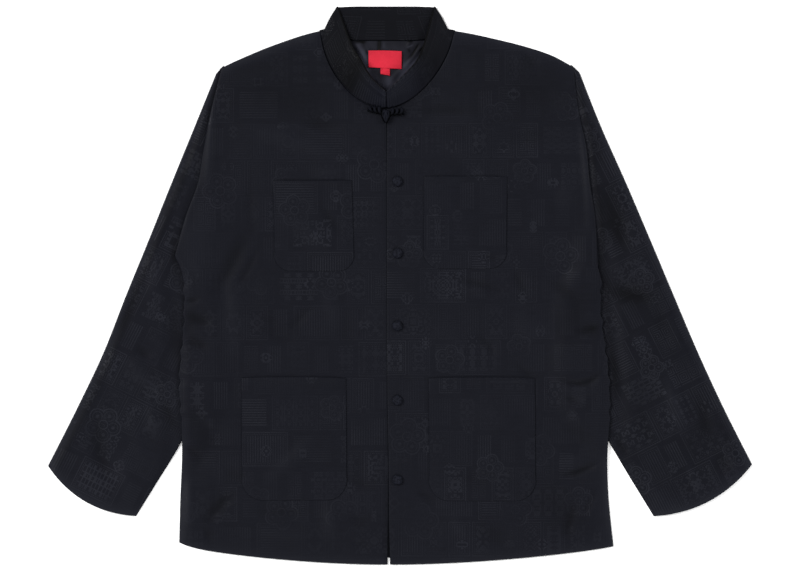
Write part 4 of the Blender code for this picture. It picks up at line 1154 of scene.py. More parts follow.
def make_jacquard(name, colours, gain=1.25, tone=1.0, gloss=0.048):
    """Weave the face cloth: satin figures on a dull ground, faint and uneven."""
    finish = Finish(name)
    x, y = finish.places()
    lines, shade, bold = woven_blocks(finish, x, y)
    depth = 0.24 + bold * bold * bold * 0.44
    charm_lines, charm_inside = charms(finish, x, y)
    lines = finish.choose(charm_inside, lines, charm_lines)
    depth = depth + charm_inside * 0.34
    flower_lines, flower_inside = blossoms(finish, x, y)
    lines = finish.choose(flower_inside, lines, flower_lines.most(lines * 0.3))
    depth = finish.choose(flower_inside, depth, bold * 0.25 + 0.36)
    wear = finish.cloud(x * 15, y * 15) * 2.4 - 0.50
    specks = finish.cloud(x * 640, y * 640, 1.0) * 1.5 + 0.15
    strength = lines * depth * wear.most(0.12) * specks * gain
    slubs = finish.cloud(x * 38, y * 620, 3.0)
    threads = (x * TURN / WARP).math("SINE") * (y * TURN / WEFT).math("SINE")
    dull, bright = scaled(colours.ground, 0.80 * tone), scaled(colours.ground, 1.22 * tone)
    ground = finish.blend(slubs, dull, bright)
    ground = finish.blend(shade * 0.22, ground, scaled(colours.ground, 0.70 * tone))
    woven = finish.blend(strength, ground, scaled(colours.satin, tone))
    # the tone attribute paints shade, towards a dark ground, and light, towards the satin
    relief = finish.tone()
    woven = finish.blend((relief * -0.8).most(0.0), woven, scaled(colours.ground, 0.10))
    woven = finish.blend(relief.most(0.0) * 0.5, woven, scaled(colours.satin, tone))
    finish.set(
        Base_Color=woven,
        Roughness=0.56 - strength * 0.14 - relief * 0.10,
        Specular_IOR_Level=gloss,
    )
    finish.bump(strength * 0.7 + slubs * 0.35 + threads * 0.12, 0.55, 0.0003)
    return finish.material


def make_trim(name, colours, tone=1.0, mottle=1.0):
    """Finish the covered buttons and the cord: a close weave, mottled more or less."""
    finish = Finish(name)
    x, y, z = finish.object_places()
    threads = [(place * TURN / TRIM_THREAD).math("SINE") for place in (x + z, y - z)]
    threads = threads[0] * threads[1]
    cloud = finish.cloud(x * 300, y * 300) * mottle + 0.5 * (1 - mottle)
    cloud = cloud.least(1.0).most(0.0)
    weave = finish.blend(cloud, scaled(colours.trim, tone), scaled(colours.trim, 2 * tone))
    # the tone attribute paints shade and light on the frog's cord
    relief = finish.tone()
    weave = finish.blend((relief * -1).most(0.0), weave, scaled(colours.trim, 0.05))
    finish.set(
        Base_Color=finish.blend(relief.most(0.0), weave, scaled(colours.trim, 3 * tone)),
        Roughness=0.60 + threads * 0.06,
        Specular_IOR_Level=0.022 * tone,
    )
    finish.bump(threads, 0.4, 0.0002)
    return finish.material


def make_satin(name, colours):
    """Finish the lining: a smooth satin with fine streaks along its warp."""
    finish = Finish(name)
    x, y = finish.places()
    warp = finish.cloud(x * 1500, y * 40, 2.0)
    cloud = finish.cloud(x * 60, y * 60)
    satin = finish.blend(
        warp * 0.5 + cloud * 0.5, scaled(colours.lining, 0.7), scaled(colours.lining, 1.3)
    )
    # the tone attribute paints light and shade on the satin
    relief = finish.tone()
    satin = finish.blend((relief * -0.9).most(0.0), satin, scaled(colours.lining, 0.10))
    finish.set(
        Base_Color=finish.blend(relief.most(0.0) * 0.5, satin, scaled(colours.lining, 4.6)),
        Roughness=0.52 + warp * 0.10,
        Specular_IOR_Level=0.045,
    )
    finish.bump(warp, 0.25, 0.0002)
    return finish.material


def make_label_weave(name, colours):
    """Finish the labels: a red damask with fine ribs, lighter where the tone paints light."""
    finish = Finish(name)
    x, y = finish.places()
    ribs = (y * TURN / RIB).math("SINE") * 0.5 + 0.5
    warp = (x * TURN / LABEL_WARP).math("SINE") * 0.5 + 0.5
    cloud = finish.cloud(x * 220, y * 220, 3.0)
    shade = ribs * 0.4 + cloud * 0.6
    red = finish.blend(shade, scaled(colours.label, 0.80), scaled(colours.label, 1.15))
    finish.set(
        Base_Color=finish.blend(finish.tone().most(0.0), red, scaled(colours.label, 1.22)),
        Roughness=0.55,
        Specular_IOR_Level=0.10,
    )
    finish.bump(ribs * 0.7 + warp * 0.3, 0.5, 0.0002)
    return finish.material


def make_floor_finish(name, colours):
    """Finish the surface: a plain, pale, dull board."""
    finish = Finish(name)
    finish.set(Base_Color=scaled(colours.floor), Roughness=0.9, Specular_IOR_Level=0.1)
    return finish.material


FinishRow = namedtuple("FinishRow", "make slot settings", defaults=({},))

FINISHES = {
    "jacquard": FinishRow(make_jacquard, "cloth"),
    # the sleeves' turned grain shows their figures more
    "jacquard_right_sleeve": FinishRow(make_jacquard, "cloth", {"gain": 2.4}),
    "jacquard_left_sleeve": FinishRow(make_jacquard, "cloth", {"gain": 3.8}),
    # the collar's copy, lighter with stronger figures: painted light, as the collar stands away from the
    # light
    "jacquard_dark": FinishRow(make_jacquard, "cloth", {"gain": 4.6, "tone": 1.36}),
    # the underlap's copy, darker and duller: painted shade, as it lies in the shade of the front edges
    "jacquard_deep": FinishRow(make_jacquard, "cloth", {"tone": 0.50, "gloss": 0.024}),
    "covered_trim": FinishRow(make_trim, "trim"),
    # the buttons are lighter than the cord
    "button_cloth": FinishRow(make_trim, "trim", {"tone": 1.60, "mottle": 4.0}),
    "lining_satin": FinishRow(make_satin, "lining"),
    "label_weave": FinishRow(make_label_weave, "label"),
    "floor": FinishRow(make_floor_finish, None),
}


def finish_named(name):
    """Return a finish, made the first time that it is asked for."""
    made = bpy.data.materials.get(name)
    if made is None:
        row = FINISHES[name]
        made = row.make(name, bpy.context.scene.jacket_colours, **row.settings)
    return made


# ------------------------------------------------------------------ operators: body
class JACKET_OT_back(bpy.types.Operator):
    """Lay the back panel, flat but for the strips over the tucked sleeves"""

    bl_idname = "jacket.back"
    bl_label = "Back"

    neck_start, neck_end = 0.36, 0.64  # shares of its width
    coarser = 1.5  # its threads' spacing to that of the fronts

    def execute(self, context):
        sizes = context.scene.jacket_sizes
        right, left = (body_edge(side, ARMHOLE_SHARE) for side in SIDES)
        spacing = sizes.spacing * self.coarser
        rows = split_shares(ARMHOLE_RUN, SIDE_RUN, ARMHOLE_SHARE, spacing)
        plan = patch(self.top_edge(), self.hem, right, left, shares(BACK_RUN, spacing), rows)
        x, y = plan[..., 0], plan[..., 1]
        points = np.dstack([plan, body_lift(x, y) + crease_heights(x, y, HIDDEN_CREASES)])
        lay_piece("back", "jacquard", points, sizes.cloth, ["Floor"])
        return {"FINISHED"}

    def top_edge(self):
        """Return the path along the right shoulder, the neck and the left shoulder."""
        shoulders = {side: smooth_path(edge_points(SHOULDER, side)) for side in SIDES}
        right, left = neck_corner("right"), neck_corner("left")

        def point_at(u):
            if u < self.neck_start:
                return shoulders["right"](1 - u / self.neck_start)
            if u > self.neck_end:
                return shoulders["left"]((u - self.neck_end) / (1 - self.neck_end))
            share = (u - self.neck_start) / (self.neck_end - self.neck_start)
            drop = BACK_NECK_DROP - BACK_NECK_LAP
            drop = drop * (1 - abs(2 * share - 1) ** BACK_NECK_SQUARE)
            return right + (left - right) * share - np.array((0.0, drop))

        return point_at

    @staticmethod
    def hem(u):
        """Return the point at this share of the hem, from right to left."""
        side = "right" if u < 0.5 else "left"
        return hem_path(side, BACK_HEM_RISE)(abs(2 * u - 1))


class JACKET_OT_fronts(bpy.types.Operator):
    """Lay the two fronts, edge to edge over the back"""

    bl_idname = "jacket.fronts"
    bl_label = "Fronts"

    neck_share = 8 / 30  # share of a front's rows that lie along the neck
    armhole_share = 10 / 30  # and along the armhole
    armhole_fade = 0.10

    def execute(self, context):
        sizes = context.scene.jacket_sizes
        for side in SIDES:
            self.lay_front(side, sizes)
        return {"FINISHED"}

    def lay_front(self, side, sizes):
        """Lay one front from its front edge out to its side."""
        inner = joined_path(neck_seam(side), front_edge(side), self.neck_share)
        outer = body_edge(side, self.armhole_share)
        shoulder = smooth_path(edge_points(SHOULDER, side))
        rows = split_shares(NECK_RUN, EDGE_RUN, self.neck_share, sizes.spacing)
        columns = shares(FRONT_RUN, sizes.spacing)
        plan = patch(shoulder, hem_path(side), inner, outer, columns, rows)
        x, y = plan[..., 0], plan[..., 1]
        from_top, from_hem, from_inner, from_side = (
            np.linalg.norm(plan - edge, axis=2)
            for edge in (plan[:1], plan[-1:], plan[:, :1], plan[:, -1:])
        )
        v = np.array(rows)[:, None]
        past_armhole = smooth_step((v - self.armhole_share) / self.armhole_fade)
        from_side = from_side + (1 - past_armhole) * ARMHOLE_ROLL * sizes.roll
        bottom = body_lift(x, y) + sizes.cloth + LAYER_GAP
        height = front_top(x, y, sizes) - sizes.cloth
        roll = rolled(np.minimum(from_side, from_top), from_hem, sizes)
        height = bottom + (height - bottom) * roll
        gap = centre_line(y)[1]
        dip = EDGE_DIPS[side]
        depth = np.clip(dip.depth + dip.per_gap * gap, 0.0, EDGE_DIP_MOST)
        reach = EDGE_DIP_RUN + dip.run_per_gap * gap
        reach = np.clip(reach, EDGE_DIP_RUN_LEAST, EDGE_DIP_RUN_MOST)
        height = np.maximum(height - depth * bell(from_inner, reach), bottom)
        points = np.dstack([plan, height])
        # painted sheen along the side, the shoulder and the hem, less where the side lies over the
        # sleeve
        over = smooth_step((y - SIDE_SHADE_END_Y) / SIDE_SHADE_FADE + 1)
        side_sheen = rim_sheen(from_side) * (1 + (SIDE_SHEEN_OVER - 1) * over)
        tone = front_painted_light(x, y) + np.maximum(side_sheen, rim_sheen(from_top))
        tone = tone + HEM_SHEEN * rim_sheen(from_hem)
        if side == "right":
            points, tone = points[:, ::-1], tone[:, ::-1]
        lay_piece("front_" + side, "jacquard", points, sizes.cloth, ["Back"], tone=tone)


class JACKET_OT_underlap(bpy.types.Operator):
    """Lay the strip behind the closure"""

    bl_idname = "jacket.underlap"
    bl_label = "Underlap"

    spacing_across, spacing_down = 0.005, 0.008

    def execute(self, context):
        sizes = context.scene.jacket_sizes
        columns = shares(2 * UNDERLAP_HALF_WIDTH, self.spacing_across)
        u, v = np.meshgrid(columns, shares(EDGE_RUN, self.spacing_down))
        x = NECK_X + (2 * u - 1) * UNDERLAP_HALF_WIDTH
        y = UNDERLAP_TOP_Y + (UNDERLAP_HEM_Y - UNDERLAP_TOP_Y) * v
        points = np.dstack([x, y, np.full_like(x, sizes.cloth + LAYER_GAP)])
        # painted shade, deepening towards the hem, in the slit between the fronts
        tone = -UNDERLAP_SHADE * smooth_step((UNDERLAP_SHADE_Y - y) / UNDERLAP_SHADE_RUN)
        lay_piece("underlap", "jacquard_deep", points, sizes.thin_cloth, ["Back"], tone=tone)
        return {"FINISHED"}


class JACKET_OT_sleeves(bpy.types.Operator):
    """Lay the two sleeves, flattened tubes that pass under the sides of the body"""

    bl_idname = "jacket.sleeves"
    bl_label = "Sleeves"

    cross_steps = 56  # steps across each layer
    fold_steps = 5
    fold_radius = 0.00165  # outer radius of the fold along the edges
    armhole_fade = 0.04
    cap_ramp = 0.010  # the sleeve swells past this distance from the armhole
    under_share = 0.6  # a crease of the lower cloth takes this much of the air at most
    turn = 0.60, 0.30  # how far the grain runs down and out

    def execute(self, context):
        sizes = context.scene.jacket_sizes
        for side in SIDES:
            self.lay_sleeve(side, sizes)
        return {"FINISHED"}

    def section(self):
        """Return one section: share of the span, offset in fold radii, height in radii, layer.

        It runs from the inner edge along the lower cloth, round the outer fold and back along
        the upper cloth. The layer is 1 where the height is that of the upper cloth.
        """
        steps = self.fold_steps
        turns = [math.pi / 2 * i / steps for i in range(steps + 1)]
        down = [(1 - math.cos(turn), 1 - math.sin(turn)) for turn in turns]
        cross = [i / self.cross_steps for i in range(1, self.cross_steps)]
        section = [(1.0, -out, z, 0) for out, z in down]
        section += [(1 - share, share * 2 - 1, 0.0, 0) for share in cross]
        section += [(0.0, out, z, 0) for out, z in reversed(down)]
        section += [(0.0, out, 2 - z, 0) for out, z in down[1:-1]] + [(0.0, 1.0, 2.0, 1)]
        section += [(share, 1 - 2 * share, 2.0, 1) for share in cross]
        section += [(1.0, -1.0, 2.0, 1)] + [(1.0, -out, 2 - z, 2) for out, z in down[-2::-1]]
        return np.array(section)

    def lay_sleeve(self, side, sizes):
        """Lay one sleeve from the armhole to the cuff."""
        out, radius = OUTWARD[side], self.fold_radius
        outer = smooth_path(edge_points(SLEEVE_OUTER, side))
        armhole, under_edge = (
            smooth_path(edge_points(rows, side)) for rows in (ARMHOLE, SLEEVE_UNDER)
        )
        inner = joined_path(armhole, under_edge, ARMHOLE_SHARE)
        rows = split_shares(SLEEVE_HEAD_RUN, SLEEVE_RUN, ARMHOLE_SHARE, sizes.spacing)
        v = np.array(rows)[:, None]
        starts, ends = along(outer, rows)[:, None], along(inner, rows)[:, None]
        chord = ends[-1, 0] - starts[-1, 0]
        past_cuff = np.array((chord[1], -chord[0])) / np.linalg.norm(chord) * -out * CUFF_BOW
        span, offset, level, layer = (column[None] for column in self.section().T)
        width = np.linalg.norm(ends - starts, axis=2)
        fade = self.armhole_fade
        open_share = 1 - smooth_step((v - ARMHOLE_SHARE + fade) / fade)
        distance = span * width + offset * radius
        distance = distance - open_share * ARMHOLE_GAP * span
        tucked = open_share * (layer > 0) * span * (CAP_TUCK + ARMHOLE_GAP + radius * (layer == 2))
        distance = distance + tucked
        t = distance / width
        plan = starts + (ends - starts) * t[..., None]
        bow = 4 * t * (1 - t) * v ** CUFF_BOW_POWER
        plan = plan + past_cuff * bow[..., None]
        x, y = plan[..., 0], plan[..., 1]
        clear = (x - edge_x_at(ARMHOLE + SIDE[1:], side, y)) * out
        hidden = smooth_step(1 - (clear - TUCK_CLEAR) / TUCK_PUFF) * tuck_window(side, y)
        from_fold = distance - radius
        from_inner = width - distance - radius + open_share * ARMHOLE_ROLL * sizes.roll
        from_cuff = np.linalg.norm(starts[-1] - starts, axis=2) + radius
        swell = rolled(np.minimum(from_fold, from_inner), from_cuff, sizes) * (1 - hidden)
        relief = cloth_relief(x, y, SLEEVE_CREASES, SLEEVE_WAVES, sizes.ripple)
        rise = np.maximum(0.0, (sizes.air + relief) * swell)
        rise = rise * (1 - open_share * smooth_step(1 - (width - distance) / self.cap_ramp))
        height = np.where(layer >= 1, level * radius + rise, level * radius)
        height = np.where((layer == 2) & (open_share > 0), 2 * radius, height)
        under = np.minimum(crease_heights(x, y, HIDDEN_CREASES), rise * self.under_share)
        points = np.dstack([x, y, height + under * (level == 0)])
        # painted light and shade: the creases, each sleeve's share of light, sheen at the fold and cuff,
        # shade in from the fold and beside the body
        tone = CREASE_PAINTED_LIGHT * crease_heights(x, y, SLEEVE_CREASES) * (layer >= 1)
        tone = tone + SLEEVE_PAINTED_LIGHT[side] + rim_sheen(from_fold, FOLD_SHEEN_RUN[side])
        tone = tone - FOLD_SHADE[side] * bell(from_fold - FOLD_SHADE_AT, FOLD_SHADE_RUN)
        tone = tone + CUFF_SHEEN * rim_sheen(from_cuff)
        beside = bell(np.maximum(clear, 0.0) - SIDE_SHADE_AT[side], SIDE_SHADE_RUN[side])
        beside = beside * smooth_step((y - SIDE_SHADE_END_Y) / SIDE_SHADE_FADE)
        tone = tone - SIDE_SHADE[side] * beside
        if side == "left":
            points, tone = points[:, ::-1], tone[:, ::-1]
        down, aside = self.turn
        lay_piece(
            "sleeve_" + side, f"jacquard_{side}_sleeve", points, sizes.cloth, ["Floor"],
            turn=math.atan2(-down, aside * out) + math.pi / 2, offset=-1.0, closed=True, tone=tone,
        )


# ------------------------------------------------------------------ operators: neck
class JACKET_OT_collar(bpy.types.Operator):
    """Stand the band collar round the neck, open at the throat"""

    bl_idname = "jacket.collar"
    bl_label = "Collar"

    front_steps = 40
    fold_steps = 6
    back_steps = 30
    spacing_down = 0.002
    rounding = 0.0014

    def execute(self, context):
        sizes = context.scene.jacket_sizes
        sections = self.sections()
        rows = shares(COLLAR_HEIGHT, self.spacing_down)
        lower, upper, flare = (np.array(part)[None] for part in zip(*sections))
        v = np.array(rows)[:, None, None]
        points = upper + (lower - upper) * v
        foot = smooth_step((v - (1 - COLLAR_FOOT)) / COLLAR_FOOT)
        points = points + flare * (v * (1 - foot))
        tone = self.tones(upper[0], v[..., 0])
        run = np.gradient(lower[0], axis=0)
        face = np.cross(upper[0] - lower[0], run)
        face = face / np.linalg.norm(face, axis=1)[:, None]
        outward = np.clip(face[:, 2:] * 2, -0.5, 1.0)
        bulge = COLLAR_BULGE * np.sin(math.pi * v) ** 1.5 * outward[None]
        points = points + face[None] * (bulge - sizes.collar / 2)
        steps = np.linalg.norm(np.diff(upper[0], axis=0, prepend=upper[0, :1]), axis=1)
        length = np.broadcast_to(np.cumsum(steps), points.shape[:2])
        start, top = CUT_PLACES["collar"]
        pattern = np.dstack([length + start, top - COLLAR_HEIGHT * v[..., 0] + 0 * length])
        lay_piece(
            "collar", "jacquard_dark", points, sizes.collar, ["Front_right", "Front_left", "Floor"],
            pattern=pattern, offset=0.0, rounding=self.rounding, tone=tone,
        )
        return {"FINISHED"}

    def tones(self, top_edge, v):
        """Return the painted light and shade at each point: lightest at the throat, darker at the rim.
        """
        tone = np.full(len(top_edge), COLLAR_BACK_PAINTED_SHADE)
        front = top_edge[:, 2] > 0.5 * COLLAR_SEAM_Z
        for side in SIDES:
            here = front & ((top_edge[:, 0] - NECK_X) * OUTWARD[side] > -0.006)
            heights = [getattr(row, side + "_y") for row in COLLAR_FRONT[::-1]]
            values = [getattr(row, side + "_tone") for row in COLLAR_FRONT[::-1]]
            tone = np.where(here, np.interp(top_edge[:, 1], heights, values), tone)
        # painted shade along the front's top edge, and painted sheen along the back's
        rim = COLLAR_RIM_SHADE * bell(v * COLLAR_HEIGHT, COLLAR_RIM_RUN) * front
        sheen = COLLAR_BACK_SHEEN * np.exp(-v * COLLAR_HEIGHT / COLLAR_BACK_RUN) * ~front
        return tone[None] - rim + sheen

    @staticmethod
    def fading(share, reach):
        """Return 1 at the start of a part, dying away to 0 where the share comes to this reach."""
        return max(0.0, 1 - share / reach) ** 2

    def front_sections(self, side):
        """Return one front half's sections, from the throat to the shoulder fold."""
        seam = neck_seam(side)
        names = (side + "_x", side + "_y", side + "_rise")
        top = smooth_path([[getattr(row, name) for name in names] for row in COLLAR_FRONT])
        sections = []
        for i in range(self.front_steps, -1, -1):
            share = i / self.front_steps
            lower = Vector((*seam(share), COLLAR_SEAM_Z))
            upper = Vector(top(share))
            inward = (upper.to_2d() - lower.to_2d()).normalized().to_3d()
            lap = COLLAR_FOOT_LAP * self.fading(share, COLLAR_LAP_SHARE)
            lower += inward * (COLLAR_SEAM_IN - lap)
            upper.z += COLLAR_SEAM_Z
            flare = Vector((-OUTWARD[side], 0, 0)) * COLLAR_FLARE[side]
            flare *= self.fading(share, COLLAR_FLARE_SHARE["front"])
            sections.append((lower, upper, flare))
        lower, upper, _ = sections[0]
        lower.x = centre_line(lower.y)[0] + OUTWARD[side] * COLLAR_GAP
        upper.x += OUTWARD[side] * COLLAR_GAP
        return sections

    def fold_sections(self, side):
        """Return the sections round the fold at one shoulder, from its front half to the back."""
        lower, upper, flare = self.front_sections(side)[-1]
        outward = Vector((upper.y - lower.y, lower.x - upper.x, 0)).normalized() * OUTWARD[side]
        sections = []
        for i in range(1, 2 * self.fold_steps):
            angle = math.pi * (0.5 - i / (2 * self.fold_steps))
            shift = outward * math.cos(angle) * COLLAR_FOLD_RADIUS
            shift.z = (math.sin(angle) - 1) * COLLAR_FOLD_RADIUS
            sections.append((lower + shift, upper + shift, flare))
        return sections

    def sections(self):
        """Return the whole band's sections, from throat to throat, each seam and top edge."""
        right, left = (self.front_sections(side) + self.fold_sections(side) for side in SIDES)
        first_lower, first_upper, first_flare = self.front_sections("right")[-1]
        last_lower, last_upper, last_flare = self.front_sections("left")[-1]
        back = []
        for i in range(self.back_steps + 1):
            t = i / self.back_steps
            drop = BACK_NECK_DROP * (1 - abs(2 * t - 1) ** BACK_NECK_SQUARE)
            lower = first_lower.lerp(last_lower, t) - Vector((0, drop, 0))
            upper = first_upper.lerp(last_upper, t)
            share = min(1.0, t * (1 - t) / COLLAR_BACK_REACH)
            upper.y += (COLLAR_BACK_TOP_Y - upper.y) * share
            lower.z = COLLAR_BACK_FOOT * share
            upper.z = 0.0
            flare = first_flare * self.fading(t, COLLAR_FLARE_SHARE["back"])
            flare += last_flare * self.fading(1 - t, COLLAR_FLARE_SHARE["back"])
            back.append((lower, upper, flare))
        return right + back + left[::-1]


class JACKET_OT_lining(bpy.types.Operator):
    """Lay the satin lining that shows inside the neck"""

    bl_idname = "jacket.lining"
    bl_label = "Neck lining"

    def execute(self, context):
        sizes = context.scene.jacket_sizes
        columns = shares(2 * LINING_HALF_TOP, LINING_SPACING)
        u, v = np.meshgrid(columns, shares(LINING_RUN, LINING_SPACING))
        widening = (LINING_HALF_TOP - LINING_HALF_LOW) * (1 - v ** LINING_CURVE)
        x = NECK_X + (LINING_HALF_LOW + widening) * (2 * u - 1)
        y = LINING_TOP_Y + (LINING_LOW_Y - LINING_TOP_Y) * v
        folds = crease_heights(x, y, LINING_CREASES) + LINING_FOLD * ripples(x, y, 0.014, 2.0)
        edge = np.minimum(u, 1 - u) * 2 * LINING_HALF_TOP
        folds = np.maximum(folds + LINING_FOLD, 0.0) * smooth_step(edge / LINING_FLAT)
        points = np.dstack([x, y, sizes.cloth + LAYER_GAP + folds])
        # painted light and shade on the lining
        tone = crease_heights(x, y, LINING_SHADES)
        lay_piece("neck_lining", "lining_satin", points, sizes.lining, ["Back"], tone=tone)
        return {"FINISHED"}


class JACKET_OT_labels(bpy.types.Operator):
    """Lay the bare woven label and size tab on the lining"""

    bl_idname = "jacket.labels"
    bl_label = "Labels"

    rounding = 0.0007
    tab_painted_light = 0.9

    def execute(self, context):
        sizes = context.scene.jacket_sizes
        for row in LABELS:
            self.lay_label(row, sizes)
        return {"FINISHED"}

    def lay_label(self, row, sizes):
        """Lay one label with a little curl at its upper right corner for the wearer."""
        width, height = row.right - row.left, row.top - row.bottom
        u, v = np.meshgrid(shares(width, LABEL_SPACING), shares(height, LABEL_SPACING))
        x = row.left + width * u
        y = row.top - height * v + LABEL_BOW * np.sin(math.pi * u) * (1 - v)
        y = y - (LABEL_TILT + LABEL_LEAN * v) * (u - 0.5)
        curl_across, curl_down = LABEL_CURL_SHARES
        curl = LABEL_CURL * bell(u, curl_across) * bell(v, curl_down)
        belly = LABEL_BELLY * np.sin(math.pi * u) * np.sin(math.pi * v)
        wobble = LABEL_WOBBLE * ripples(x, y, 0.012, 6.0)
        points = np.dstack([x, y, row.height + curl + belly + wobble])
        # painted light: the label lighter towards its foot, and the tab lighter all over
        tone = smooth_step(v) if row.node == "label" else self.tab_painted_light
        lay_piece(
            row.node, "label_weave", points, sizes.label, ["Neck_lining"],
            rounding=self.rounding, tone=tone,
        )


# ------------------------------------------------------------------ operators: pockets
class JACKET_OT_pockets(bpy.types.Operator):
    """Lay the four patch pockets on the fronts"""

    bl_idname = "jacket.pockets"
    bl_label = "Pockets"

    corner_steps = 9
    puff, puff_run = 0.0007, 0.012  # how far a pocket stands off the front away from its seam
    mouth, mouth_run, mouth_ease = 0.0013, 0.012, 0.02  # and more at its mouth
    seam = 0.0001
    rounding = 0.0013

    def execute(self, context):
        sizes = context.scene.jacket_sizes
        for pocket in POCKETS:
            self.lay_pocket(pocket, sizes)
        return {"FINISHED"}

    def lay_pocket(self, pocket, sizes):
        """Lay one pocket with round lower corners, following the front under it."""
        width, length = pocket.right - pocket.left, pocket.top - pocket.bottom
        turns = [math.pi / 2 * i / self.corner_steps for i in range(self.corner_steps + 1)]
        corner = [pocket.radius * (1 - math.cos(turn)) for turn in turns]
        between = np.linspace(corner[-1], width - corner[-1], round(width / sizes.spacing))
        stations = [*corner, *between[1:-1], *(width - step for step in reversed(corner))]
        distance, v = np.meshgrid(stations, shares(length, sizes.spacing))
        side_gap = np.minimum(distance, width - distance)
        from_corner = np.maximum(0.0, pocket.radius - side_gap)
        rounding = pocket.radius - np.sqrt(pocket.radius ** 2 - from_corner ** 2)
        upper = pocket.top - pocket.sag * np.sin(math.pi * distance / width)
        lower = pocket.bottom + rounding
        x = pocket.left + distance + pocket.lean * (v - 0.5)
        y = upper + (lower - upper) * v
        edge = np.minimum(np.minimum(side_gap + 0.3 * rounding, y - lower), self.puff_run)
        puff = self.puff * smooth_step(edge / self.puff_run)
        mouth = self.mouth * smooth_step(1 - v * length / self.mouth_run)
        mouth = mouth * smooth_step(side_gap / self.mouth_ease)
        height = front_top(x, y, sizes) + self.seam + puff + mouth
        front = "Front_right" if pocket.node.endswith("right") else "Front_left"
        # the front's painted light and shade carries on over the pocket
        lay_piece(
            pocket.node, "jacquard", np.dstack([x, y, height]), sizes.thin_cloth, [front],
            rounding=self.rounding, tone=front_painted_light(x, y),
        )


# ------------------------------------------------------------------ operators: closures
class JACKET_OT_buttons(bpy.types.Operator):
    """Set the five cloth-covered buttons"""

    bl_idname = "jacket.buttons"
    bl_label = "Buttons"

    segments, rings = 40, 24

    def execute(self, context):
        sizes = context.scene.jacket_sizes
        for number, y in enumerate(BUTTON_ROWS_Y, start=1):
            seat = float(front_top([BUTTON_X], [y], sizes)[0]) + SEAT_GAP
            self.set_button(number, (BUTTON_X, y, seat), sizes)
        return {"FINISHED"}

    def set_button(self, number, seat, sizes):
        """Turn a dome with a drawn-in base from a ball cut in half."""
        bpy.ops.mesh.primitive_uv_sphere_add(
            segments=self.segments, ring_count=self.rings, radius=sizes.button_radius
        )
        button = own_mesh(f"Button_{number}")
        bpy.ops.object.mode_set(mode="EDIT")
        bpy.ops.mesh.select_all(action="SELECT")
        low = -BUTTON_BASE * sizes.button_radius
        bpy.ops.mesh.bisect(
            plane_co=(0, 0, low), plane_no=(0, 0, 1), clear_inner=True, use_fill=True
        )
        bpy.ops.object.mode_set(mode="OBJECT")
        tall = sizes.button_height / (sizes.button_radius - low)
        for vertex in button.data.vertices:
            dome = vertex.co.copy()
            round_by = math.hypot(dome.x, dome.y) / sizes.button_radius
            dome.z = (dome.z - low) * tall * (1 - BUTTON_FLAT * (1 - round_by) ** 2)
            vertex.co = dome + Vector(seat)
        finish_piece(button)
        dress(button, f"button_{number}", "button_cloth")


